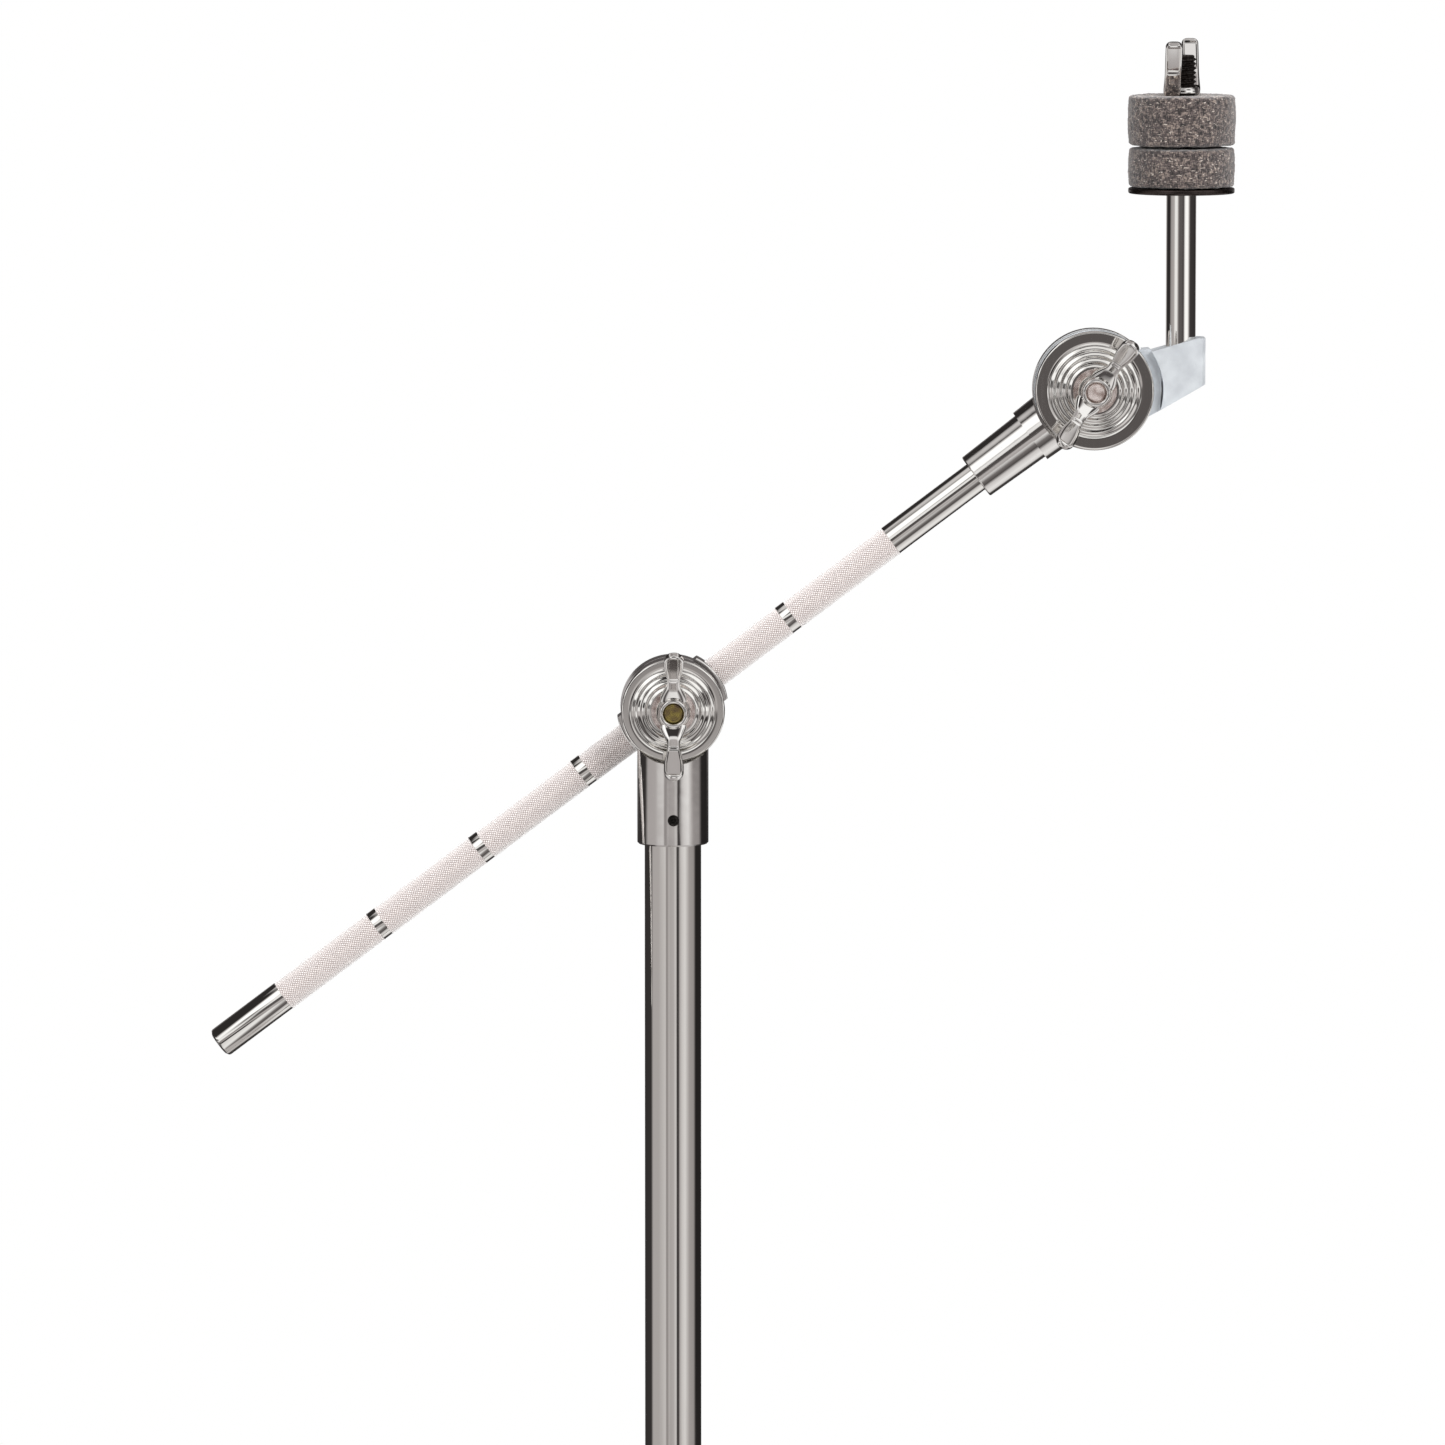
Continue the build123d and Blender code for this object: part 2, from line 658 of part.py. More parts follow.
def leg(index, azimuth):
    """Pressed channel leg with its web on the upper side, its foot and its brace rivet."""
    plane = radial_plane(azimuth)
    inner = leg_width / 2 - leg_sheet
    web_side = (cos(spread), sin(spread))
    pocket_start = along(leg_pivot, web_side, -leg_sheet)
    with BuildPart() as channel:
        with BuildSketch(plane):
            with Locations(Location(along(leg_pivot, leg_way, leg_length / 2), leg_slope)):
                SlotCenterToCenter(leg_length, leg_depth)
        extrude(amount=leg_width / 2, both=True)
        with BuildSketch(plane):
            channel_cut(pocket_start, leg_way, leg_slope, leg_length / 2, leg_length + leg_depth, leg_depth)
        extrude(amount=inner, both=True, mode=Mode.SUBTRACT)
        with BuildSketch(plane):
            channel_cut(leg_pivot, leg_way, leg_slope, 0, leg_web_trim, leg_depth)
            channel_cut(leg_pivot, leg_way, leg_slope, link_length - brace_window_shift, brace_window, leg_depth)
        extrude(amount=inner, both=True, mode=Mode.SUBTRACT)
        with BuildSketch(plane):
            with Locations(leg_pivot, along(leg_pivot, leg_way, link_length)):
                Circle(rivet_radius + seat_gap)
        extrude(amount=leg_width, both=True, mode=Mode.SUBTRACT)
    save(channel, f"leg_{index}")

    foot_width = leg_width + 2 * foot_wall
    foot_depth = leg_depth + 2 * foot_wall
    tip = leg_length + leg_depth / 2
    with BuildPart() as foot:
        with BuildSketch(plane):
            channel_cut(leg_pivot, leg_way, leg_slope, tip + foot_wall - foot_grip / 2, foot_grip, foot_depth)
            with Locations(along(leg_pivot, leg_way, leg_length - foot_heel_set)):
                Circle(foot_depth / 2 + foot_heel_set)
            with Locations((along(leg_pivot, leg_way, leg_length + foot_sole_set)[0], foot_toe / 2)):
                Rectangle(foot_depth + foot_toe, foot_toe)
        extrude(amount=foot_width / 2, both=True)
        with BuildSketch(plane):
            with Locations((leg_pivot_radius + leg_length, -leg_length / 2)):
                Rectangle(2 * leg_length, leg_length)
        extrude(amount=foot_width, both=True, mode=Mode.SUBTRACT)
        with BuildSketch(plane):
            channel_cut(leg_pivot, leg_way, leg_slope, leg_length / 2, leg_length + leg_depth, leg_depth)
        extrude(amount=leg_width / 2, both=True, mode=Mode.SUBTRACT)
    save(foot, f"foot_{index}")

    rivet_at = along(leg_pivot, leg_way, link_length)
    with BuildPart() as rivet:
        for side in (-1, 1):
            with BuildSketch(plane.offset(side * inner)):
                with Locations(rivet_at):
                    Circle(rivet_radius)
            extrude(amount=side * leg_sheet)
            with BuildSketch(plane.offset(side * leg_width / 2)):
                with Locations(rivet_at):
                    Circle(rivet_head_radius)
            extrude(amount=side * rivet_head_height, taper=rivet_head_taper)
    save(rivet, f"leg_rivet_{index}")


def brace(index, azimuth):
    """Pressed channel brace, nested between the leg's flanges, with its web underneath."""
    plane = radial_plane(azimuth)
    inner = brace_width / 2 - brace_sheet
    web_side = (cos(spread), -sin(spread))
    pocket_start = along(brace_pivot, web_side, -brace_sheet)
    with BuildPart() as channel:
        with BuildSketch(plane):
            with Locations(Location(along(brace_pivot, brace_way, link_length / 2), brace_slope)):
                SlotCenterToCenter(link_length, brace_depth)
        extrude(amount=brace_width / 2, both=True)
        with BuildSketch(plane):
            channel_cut(pocket_start, brace_way, brace_slope, link_length / 2, 2 * link_length, brace_depth)
        extrude(amount=inner, both=True, mode=Mode.SUBTRACT)
        with BuildSketch(plane):
            channel_cut(brace_pivot, brace_way, brace_slope, 0, brace_web_trim, brace_depth)
            channel_cut(brace_pivot, brace_way, brace_slope, link_length, brace_web_trim, brace_depth)
        extrude(amount=inner, both=True, mode=Mode.SUBTRACT)
        with BuildSketch(plane):
            with Locations(brace_pivot, along(brace_pivot, brace_way, link_length)):
                Circle(rivet_radius + seat_gap)
        extrude(amount=brace_width, both=True, mode=Mode.SUBTRACT)
    save(channel, f"brace_{index}")


for number, leg_azimuth in enumerate(leg_azimuths, start=1):
    leg(number, leg_azimuth)
    brace(number, leg_azimuth)

# ---------------------------------------------------------------- boom tilter
base_front = tilter_front + cover_sheet
rotor_front = tilter_split + tilter_disc_thickness + face_gap
nut_seat = tilter_front - cover_rise - nut_washer_thickness - 2 * face_gap
bolt_tip = nut_seat - tilter_hub_height + bolt_recess + bolt_point

with BuildPart() as tilter_base:
    with BuildSketch(Plane.XY.offset(tilter_height - tilter_sleeve_drop)):
        Circle(tilter_sleeve_radius)
    extrude(amount=tilter_sleeve_drop - tilter_neck)
    chamfer(tilter_base.edges().group_by(Axis.Z)[0], length=tilter_edge)
    with BuildSketch(front_plane(0, tilter_height, tilter_split)):
        Circle(tilter_radius)
    extrude(amount=tilter_split - base_front)
    with BuildSketch(front_plane(0, tilter_height, base_front)):
        Circle(tilter_radius + seat_gap)
    extrude(amount=tilter_sleeve_radius, mode=Mode.SUBTRACT)
    with BuildSketch(front_plane(0, tilter_height, tilter_split)):
        Circle(tilter_lip_reach + tilter_lip_room)
    extrude(amount=-tilter_sleeve_radius, mode=Mode.SUBTRACT)
    with BuildSketch(Plane.XY.offset(tilter_height - tilter_sleeve_drop)):
        Circle(top_tube_radius + seat_gap)
    extrude(amount=top_tube_top - tilter_height + tilter_sleeve_drop, mode=Mode.SUBTRACT)
    with BuildSketch(front_plane(0, tilter_height, tilter_split)):
        Circle(pivot_bolt_radius + running_gap)
    extrude(amount=2 * tilter_radius, mode=Mode.SUBTRACT)
    with BuildSketch(front_plane(0, tilter_height - tilter_screw_drop, 0)):
        Circle(set_screw_radius + seat_gap)
    extrude(amount=tilter_sleeve_radius, mode=Mode.SUBTRACT)
save(tilter_base, "tilter_base")

set_screw(
    "tilter_set_screw",
    front_plane(0, tilter_height - tilter_screw_drop, -tilter_sleeve_radius + set_screw_depth),
    set_screw_length,
)
ring_cover(
    "tilter_cover", 0, tilter_height, tilter_front, tilter_radius, cover_rings, pivot_bolt_radius + running_gap
)
cone_washer(
    "tilter_spring", 0, tilter_height, base_front, pivot_bolt_radius + running_gap, cover_rings[1] - 2 * cover_sheet
)

with BuildPart() as tilter_friction_disc:
    with BuildSketch(front_plane(0, tilter_height, tilter_split + tilter_disc_thickness)):
        Circle(tilter_radius - friction_inset)
        Circle(pivot_bolt_radius + running_gap, mode=Mode.SUBTRACT)
    extrude(amount=tilter_disc_thickness)
save(tilter_friction_disc, "tilter_friction_disc")

with BuildPart() as tilter_rotor:
    with BuildSketch(front_plane(0, tilter_height, tilter_back)):
        with Locations(Location((0, 0), arm_angle)):
            Rectangle(2 * tilter_lip_reach, tilter_lip_width)
        Circle(tilter_lip_reach, mode=Mode.INTERSECT)
        Circle(tilter_radius)
    extrude(amount=tilter_back - rotor_front)
    fillet(tilter_rotor.edges().filter_by(GeomType.CIRCLE), radius=rotor_edge_round)
    with BuildSketch(arm_plane.offset(-2 * tilter_lip_reach)):
        Circle(arm_radius + running_gap)
    extrude(amount=4 * tilter_lip_reach, mode=Mode.SUBTRACT)
    with BuildSketch(arm_plane.offset(-eye_width / 2 - running_gap)):
        Circle(eye_radius + eye_room)
    extrude(amount=eye_width + 2 * running_gap, mode=Mode.SUBTRACT)
    with BuildSketch(front_plane(0, tilter_height, tilter_back)):
        Circle(pivot_bolt_radius + running_gap)
    extrude(amount=2 * tilter_radius, mode=Mode.SUBTRACT)
save(tilter_rotor, "tilter_rotor")

with BuildPart() as tilter_eye_bolt:
    with BuildSketch(arm_plane.offset(-eye_width / 2)):
        Circle(eye_radius)
    extrude(amount=eye_width)
    fillet(tilter_eye_bolt.edges().filter_by(GeomType.CIRCLE), radius=eye_edge_round)
    with BuildSketch(front_plane(0, tilter_height, arm_depth)):
        Circle(pivot_bolt_radius)
    extrude(amount=arm_depth - bolt_tip)
    with BuildSketch(front_plane(0, tilter_height, bolt_tip)):
        Circle(pivot_bolt_radius)
    extrude(amount=bolt_point, taper=bolt_point_taper)
    with BuildSketch(arm_plane.offset(-eye_width)):
        Circle(arm_radius + running_gap)
    extrude(amount=2 * eye_width, mode=Mode.SUBTRACT)
save(tilter_eye_bolt, "tilter_eye_bolt")


def nut_washer(name, x, z, seat):
    """Plain washer between a ring cover and its wing nut."""
    with BuildPart() as piece:
        with BuildSketch(front_plane(x, z, seat + nut_washer_thickness + face_gap)):
            Circle(nut_washer_radius)
            Circle(pivot_bolt_radius + running_gap, mode=Mode.SUBTRACT)
        extrude(amount=nut_washer_thickness)
    save(piece, name)


nut_washer("tilter_washer", 0, tilter_height, nut_seat)
wing_nut(
    "tilter_wing_nut",
    front_plane(0, tilter_height, nut_seat),
    upright_wing_turn,
    pivot_bolt_radius + running_gap,
    tilter_nut_height,
    tilter_hub_height,
    hub_base_radius,
    hub_face_radius,
)

# ---------------------------------------------------------------- boom arm
arm_end = socket_start + socket_depth - arm_end_room

with BuildPart() as boom_arm:
    with BuildSketch(arm_plane.offset(arm_rear_end)):
        Circle(arm_plain_radius)
    extrude(amount=arm_end - arm_rear_end)
    chamfer(boom_arm.edges().filter_by(GeomType.CIRCLE), length=arm_end_chamfer)
    with BuildSketch(arm_plane.offset(arm_knurl_start)):
        Circle(arm_radius)
    extrude(amount=arm_knurl_end - arm_knurl_start)
    for ring in range(arm_ring_count):
        ring_middle = arm_ring_last - ring * arm_ring_pitch
        with BuildSketch(arm_plane.offset(ring_middle - arm_ring_width / 2)):
            Circle(arm_radius + arm_end_chamfer)
            Circle(arm_plain_radius, mode=Mode.SUBTRACT)
        extrude(amount=arm_ring_width, mode=Mode.SUBTRACT)
save(boom_arm, "boom_arm")

# ---------------------------------------------------------------- cymbal tilter
with BuildPart() as cymbal_tilter_socket:
    with BuildSketch(front_plane(cymbal_x, cymbal_z, cymbal_back)):
        Circle(cymbal_disc_radius)
    extrude(amount=cymbal_back_thickness)
    fillet(cymbal_tilter_socket.edges().filter_by(GeomType.CIRCLE).sort_by(Axis.Y)[-1], radius=disc_edge_round)
    with BuildSketch(arm_plane.offset(socket_start)):
        Circle(socket_start_radius)
    with BuildSketch(arm_plane.offset(socket_step)):
        Circle(socket_end_radius)
    loft()
    with BuildSketch(arm_plane.offset(socket_step)):
        Circle(neck_radius_small)
    with BuildSketch(arm_plane.offset(cymbal_axis_distance - neck_radius_large)):
        Circle(neck_radius_large)
    loft()
    fillet(cymbal_tilter_socket.edges().filter_by(GeomType.CIRCLE).sort_by(plane_axis(arm_plane))[0], radius=neck_edge_round)
    with BuildSketch(front_plane(cymbal_x, cymbal_z, cymbal_socket_front)):
        Circle(cymbal_disc_radius + disc_trim)
    extrude(amount=2 * neck_radius_large, mode=Mode.SUBTRACT)
    with BuildSketch(front_plane(cymbal_x, cymbal_z, cymbal_back)):
        Circle(cymbal_disc_radius + seat_gap)
    extrude(amount=-2 * neck_radius_large, mode=Mode.SUBTRACT)
    with BuildSketch(arm_plane.offset(socket_start)):
        Circle(arm_plain_radius + running_gap)
    extrude(amount=socket_depth, mode=Mode.SUBTRACT)
    with BuildSketch(front_plane(cymbal_x, cymbal_z, cymbal_back)):
        Circle(pivot_bolt_radius + seat_gap)
    extrude(amount=2 * neck_radius_large, mode=Mode.SUBTRACT)
    socket_screw_at = arm_plane.offset(socket_start + socket_screw_setback).origin
    socket_screw_plane = Plane(origin=socket_screw_at, x_dir=(1, 0, 0), z_dir=(0, 1, 0))
    with BuildSketch(socket_screw_plane):
        Circle(set_screw_radius + seat_gap)
    extrude(amount=2 * socket_end_radius, mode=Mode.SUBTRACT)
save(cymbal_tilter_socket, "cymbal_tilter_socket")
set_screw(
    "cymbal_socket_set_screw",
    socket_screw_plane.offset(socket_start_radius - socket_screw_sink),
    socket_start_radius - socket_screw_sink - arm_plain_radius - running_gap,
)

with BuildPart() as cymbal_friction_disc:
    with BuildSketch(front_plane(cymbal_x, cymbal_z, cymbal_split + cymbal_friction_thickness)):
        Circle(cymbal_cover_radius - friction_inset)
        Circle(pivot_bolt_radius + running_gap, mode=Mode.SUBTRACT)
    extrude(amount=cymbal_friction_thickness)
save(cymbal_friction_disc, "cymbal_friction_disc")

ring_cover(
    "cymbal_tilter_cover",
    cymbal_x,
    cymbal_z,
    cymbal_front,
    cymbal_cover_radius,
    cymbal_cover_rings,
    pivot_bolt_radius + running_gap,
)
cone_washer(
    "cymbal_tilter_spring",
    cymbal_x,
    cymbal_z,
    cymbal_front + cover_sheet,
    pivot_bolt_radius + running_gap,
    cymbal_cover_rings[1] - 2 * cover_sheet,
)

block_front = cymbal_front + cover_sheet
block_back = block_front + block_thickness
# Corners of the rod block's side outline, from the tilter axis.
block_outline = [(20.0, 14.6), (40.5, 20.5), (43.6, 20.5), (43.6, 2.4), (25.5, -8.0), (20.0, -10.5)]
block_neck = [(0.0, 14.6), (27.0, 16.6), (26.0, -8.0), (16.0, -13.4), (0.0, -13.4)]

with BuildPart() as rod_block:
    with BuildSketch(front_plane(cymbal_x, cymbal_z, block_back)):
        with BuildLine():
            Polyline(*block_outline, close=True)
        make_face()
    extrude(amount=block_thickness)
    with BuildSketch(front_plane(cymbal_x, cymbal_z, block_back)):
        Circle(block_inner_radius)
    extrude(amount=block_thickness, mode=Mode.SUBTRACT)
    chamfer(rod_block.edges().filter_by(Axis.Z).sort_by(Axis.X)[-2:], length=block_edge)
    with BuildSketch(front_plane(cymbal_x, cymbal_z, block_back)) as neck_outline:
        with BuildLine():
            Polyline(*block_neck, close=True)
        make_face()
        Circle(block_inner_radius + block_overlap, mode=Mode.INTERSECT)
        Circle(cymbal_disc_radius + block_disc_gap, mode=Mode.SUBTRACT)
    extrude(amount=block_thickness - block_recess)
    with BuildSketch(front_plane(cymbal_x, cymbal_z, cymbal_split)):
        with BuildLine():
            Polyline(*block_neck, close=True)
        make_face()
        Circle(block_inner_radius + block_overlap, mode=Mode.INTERSECT)
    extrude(amount=cymbal_split - block_front - block_recess)
    with BuildSketch(front_plane(cymbal_x, cymbal_z, cymbal_split)):
        Circle(cymbal_cover_radius)
    extrude(amount=cymbal_split - block_front)
    with BuildSketch(Plane(origin=(rod_x, rod_y, cymbal_z + rod_bottom))):
        Circle(rod_radius + seat_gap)
    extrude(amount=rod_offset, mode=Mode.SUBTRACT)
    with BuildSketch(front_plane(cymbal_x, cymbal_z, cymbal_split)):
        Circle(pivot_bolt_radius + running_gap)
    extrude(amount=cymbal_split - block_front, mode=Mode.SUBTRACT)
    side_plane = Plane(origin=(rod_x, rod_y, cymbal_z + block_screw_rise), x_dir=(0, 1, 0), z_dir=(1, 0, 0))
    with BuildSketch(side_plane):
        Circle(set_screw_radius + seat_gap)
    extrude(amount=rod_offset, mode=Mode.SUBTRACT)
save(rod_block, "rod_block")
set_screw("rod_block_set_screw", side_plane.offset(rod_radius + block_screw_sink), block_screw_length)

with BuildPart() as cymbal_tilter_bolt:
    with BuildSketch(front_plane(cymbal_x, cymbal_z, cymbal_back)):
        Circle(cymbal_bolt_head_radius)
    extrude(amount=-cymbal_bolt_head_height)
    fillet(cymbal_tilter_bolt.faces().sort_by(Axis.Y)[-1].edges(), radius=cymbal_bolt_head_round)
    cymbal_nut_seat = cymbal_front - cover_rise - nut_washer_thickness - 2 * face_gap
    with BuildSketch(front_plane(cymbal_x, cymbal_z, cymbal_back)):
        Circle(pivot_bolt_radius)
    extrude(amount=cymbal_back - cymbal_nut_seat + tilter_hub_height - cymbal_bolt_sink)
    chamfer(cymbal_tilter_bolt.faces().sort_by(Axis.Y)[0].edges(), length=bolt_end_chamfer)
save(cymbal_tilter_bolt, "cymbal_tilter_bolt")

nut_washer("cymbal_tilter_washer", cymbal_x, cymbal_z, cymbal_nut_seat)
wing_nut(
    "cymbal_tilter_wing_nut",
    front_plane(cymbal_x, cymbal_z, cymbal_nut_seat),
    cymbal_wing_turn,
    pivot_bolt_radius + running_gap,
    tilter_nut_height,
    tilter_hub_height,
    hub_base_radius,
    hub_face_radius,
)

# ---------------------------------------------------------------- cymbal rod, felts and nut


def rod_plane(height):
    """Level plane on the cymbal rod's axis."""
    return Plane(origin=(rod_x, rod_y, height))


with BuildPart() as cymbal_rod:
    with BuildSketch(rod_plane(cymbal_z + rod_bottom)):
        Circle(rod_radius)
    extrude(amount=rod_shoulder - rod_bottom)
    with BuildSketch(rod_plane(washer_base)):
        Circle(thread_radius)
    extrude(amount=rod_top - rod_shoulder)
    chamfer(cymbal_rod.edges().group_by(Axis.Z)[-1], length=rod_tip_chamfer)
save(cymbal_rod, "cymbal_rod")

with BuildPart() as seat_washer:
    with BuildSketch(rod_plane(washer_base)):
        Circle(washer_radius)
        Circle(thread_radius + seat_gap, mode=Mode.SUBTRACT)
    extrude(amount=washer_thickness)
    fillet(seat_washer.edges().filter_by(GeomType.CIRCLE).sort_by(SortBy.LENGTH)[-2:], radius=washer_edge_round)
save(seat_washer, "seat_washer")


def felt(name, base, radius, height):
    """Round felt pad with softened edges."""
    with BuildPart() as piece:
        with BuildSketch(rod_plane(base)):
            Circle(radius)
        extrude(amount=height)
        fillet(piece.edges().filter_by(GeomType.CIRCLE), radius=felt_edge)
        with BuildSketch(rod_plane(base)):
            Circle(thread_radius + felt_bore_gap)
        extrude(amount=height, mode=Mode.SUBTRACT)
    save(piece, name)


felt("lower_felt", lower_felt_base, lower_felt_radius, lower_felt_height)
felt("upper_felt", upper_felt_base, upper_felt_radius, upper_felt_height)
wing_nut(
    "cymbal_wing_nut",
    rod_plane(upper_felt_top + face_gap),
    seat_wing_turn,
    thread_radius + running_gap,
    seat_nut_height,
    seat_hub_height,
    seat_hub_radius,
    seat_hub_radius - seat_hub_taper,
    seat_wing_span,
    seat_wing_offset,
)
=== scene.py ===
"""Cymbal boom stand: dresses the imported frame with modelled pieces, finishes, light and camera."""

import json
import logging
from dataclasses import dataclass, field
from enum import Enum
from math import cos, pi, radians, sin

import bmesh
import bpy
import numpy as np
from bpy.types import Material, Node, NodeSocket, NodeTree, Object
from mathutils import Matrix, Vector


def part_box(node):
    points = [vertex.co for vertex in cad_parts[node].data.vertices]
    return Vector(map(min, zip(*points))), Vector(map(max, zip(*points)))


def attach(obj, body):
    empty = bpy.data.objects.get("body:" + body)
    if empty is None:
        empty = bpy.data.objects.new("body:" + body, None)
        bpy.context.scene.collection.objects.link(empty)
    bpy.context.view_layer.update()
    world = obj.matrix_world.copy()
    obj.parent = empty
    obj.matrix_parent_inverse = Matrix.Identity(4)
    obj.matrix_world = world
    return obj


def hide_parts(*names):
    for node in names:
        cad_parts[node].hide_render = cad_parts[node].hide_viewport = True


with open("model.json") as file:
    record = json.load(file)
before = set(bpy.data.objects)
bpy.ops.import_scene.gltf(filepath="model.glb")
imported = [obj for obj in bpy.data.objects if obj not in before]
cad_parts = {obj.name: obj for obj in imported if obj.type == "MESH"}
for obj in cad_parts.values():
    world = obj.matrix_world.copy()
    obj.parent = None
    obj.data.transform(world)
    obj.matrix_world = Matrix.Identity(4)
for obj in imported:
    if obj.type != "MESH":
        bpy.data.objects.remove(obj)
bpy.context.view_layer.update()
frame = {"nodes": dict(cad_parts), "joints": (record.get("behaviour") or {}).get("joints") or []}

MM = 0.001
log = logging.getLogger("cymbal_boom_stand")


# ---------------------------------------------------------------- places and meshes
class Body(Enum):
    """Moving bodies of the frame that carry new pieces."""

    BASE_BOLT = "base_clamp_bolt"
    MID_BOLT = "mid_clamp_bolt"
    LEG_BOLT = "leg_collar_bolt"
    TOP_STAGE = "top_stage"
    BOOM = "boom"
    BOOM_NUT = "boom_nut"
    CYMBAL_NUT = "cymbal_nut"
    ROD_HEAD = "rod_head"
    TOP_FELT = "top_felt"
    SEAT_NUT = "seat_nut"


@dataclass(frozen=True)
class Spot:
    """A place on the object with its own right-handed axes, in metres."""

    origin: np.ndarray
    across: np.ndarray
    beside: np.ndarray
    along: np.ndarray

    def place(self, across: np.ndarray, beside: np.ndarray, along: np.ndarray) -> np.ndarray:
        """Turns local coordinates in metres into points of the object.

        Args:
            across, beside, along: arrays of one shape, along the spot's three axes.

        Returns:
            An array with one more axis, which holds x, y and z.
        """
        return (
            self.origin
            + across[..., None] * self.across
            + beside[..., None] * self.beside
            + along[..., None] * self.along
        )

    def turned(self, radius: np.ndarray, angle: np.ndarray, along: np.ndarray) -> np.ndarray:
        """Gives the points at a radius and an angle round the main axis, and a place along it."""
        return self.place(radius * np.cos(angle), radius * np.sin(angle), along + 0 * angle)


def spot(origin: Vector, along: tuple, across: tuple) -> Spot:
    """Makes a spot from its origin, its main axis and a rough second axis.

    Args:
        origin: where it is.
        along: the main axis, such as a screw's or a tube's.
        across: any direction that isn't parallel to it; it is made square to it.

    Returns:
        The spot.
    """
    axis = np.array(along, float)
    axis /= np.linalg.norm(axis)
    side = np.array(across, float)
    side -= axis * side.dot(axis)
    side /= np.linalg.norm(side)
    return Spot(np.array(origin, float), side, np.cross(axis, side), axis)


def node_centre(node: str) -> Vector:
    """The middle of a CAD node's box."""
    low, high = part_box(node)
    return (low + high) / 2


def upright(low: Vector, high: Vector) -> Spot:
    """A spot under the middle of a box, which points up."""
    return spot(Vector((*((low + high) / 2).xy, low.z)), (0, 0, 1), (1, 0, 0))


def joint_axis(name: str) -> tuple:
    """The direction of a joint of the frame."""
    return tuple(next(j["axis"] for j in frame["joints"] if j["name"] == name))


def smooth_step(low: float, high: float, values: np.ndarray) -> np.ndarray:
    """Rises from 0 at low to 1 at high as 3t squared less 2t cubed, flat outside them."""
    t = np.clip((values - low) / (high - low), 0, 1)
    return t * t * (3 - 2 * t)


def circle(columns: int) -> np.ndarray:
    """Even angles round one whole turn, in radians."""
    return np.arange(columns) * 2 * pi / columns


def grid_faces(rows: int, columns: int, close_rows: bool = False) -> np.ndarray:
    """Quads of a grid whose columns close round on themselves.

    Args:
        rows, columns: the grid's size in points.
        close_rows: joins the last row to the first, for a ring-shaped surface.

    Returns:
        An array of four vertex numbers to a quad, facing away from the middle when rows go
        along an axis and columns go anticlockwise round it.
    """
    index = np.arange(rows * columns).reshape(rows, columns)
    index = np.concatenate([index, index[:, :1]], axis=1)
    if close_rows:
        index = np.concatenate([index, index[:1]], axis=0)
    corners = (index[:-1, :-1], index[:-1, 1:], index[1:, 1:], index[1:, :-1])
    return np.stack(corners, axis=-1).reshape(-1, 4)


def end_caps(rows: int, columns: int) -> list:
    """The two end faces of such a grid, as lists of vertex numbers that face away from it."""
    last = (rows - 1) * columns
    return [list(range(columns))[::-1], list(range(last, last + columns))]


def new_piece(
    name: str, points: np.ndarray, faces: list, sharp: float = 35.0, tidy: bool = True
) -> Object:
    """Makes a mesh object at the origin from points and faces.

    Args:
        name: the piece's name.
        points: vertex places in metres, in any shape that ends in x, y and z.
        faces: lists of vertex numbers.
        sharp: edges that bend more than this many degrees stay crisp.
        tidy: merges doubled points and turns every closed shell's faces outwards.

    Returns:
        The new object.
    """
    mesh = bpy.data.meshes.new(name)
    mesh.from_pydata(points.reshape(-1, 3).tolist(), [], faces)
    if tidy:
        work = bmesh.new()
        work.from_mesh(mesh)
        bmesh.ops.remove_doubles(work, verts=work.verts, dist=2e-6)
        bmesh.ops.recalc_face_normals(work, faces=work.faces)
        work.to_mesh(mesh)
        work.free()
    mesh.polygons.foreach_set("use_smooth", np.ones(len(mesh.polygons), bool))
    mesh.set_sharp_from_angle(angle=radians(sharp))
    mesh.update()
    piece = bpy.data.objects.new(name, mesh)
    bpy.context.scene.collection.objects.link(piece)
    return piece


def fit_out(piece: Object, body: Body, finish: Material, slot: str, *nodes: str) -> Object:
    """Rides a finished piece on its body, dresses it and hides the CAD nodes that it replaces.

    Args:
        piece: the object.
        body: the body it moves with.
        finish: its material.
        slot: the record's material slot; not used.
        nodes: the CAD nodes that it replaces.

    Returns:
        The same piece.
    """
    piece.data.materials.append(finish)
    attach(piece, body.value)
    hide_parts(*nodes)
    log.info("%s: %d faces on %s", piece.name, len(piece.data.polygons), body.value)
    return piece


def lathe_points(where: Spot, profile: np.ndarray, columns: int) -> np.ndarray:
    """Turns a profile round a spot's main axis.

    The point at profile place k and angle a is radius[k] times (cos a, sin a), at height[k].

    Args:
        where: the axis.
        profile: rows of radius and height, in metres.
        columns: points round the axis.

    Returns:
        An array of profile rows by columns by x, y and z.
    """
    return where.turned(profile[:, :1], circle(columns), profile[:, 1:])


# ---------------------------------------------------------------- colours and nodes
def linear(code: str) -> tuple:
    """Turns an sRGB hex colour such as #c0ffee into linear red, green, blue and alpha."""
    channels = [int(code[k : k + 2], 16) / 255 for k in (1, 3, 5)]
    light = [c / 12.92 if c <= 0.04045 else ((c + 0.055) / 1.055) ** 2.4 for c in channels]
    return (*light, 1.0)


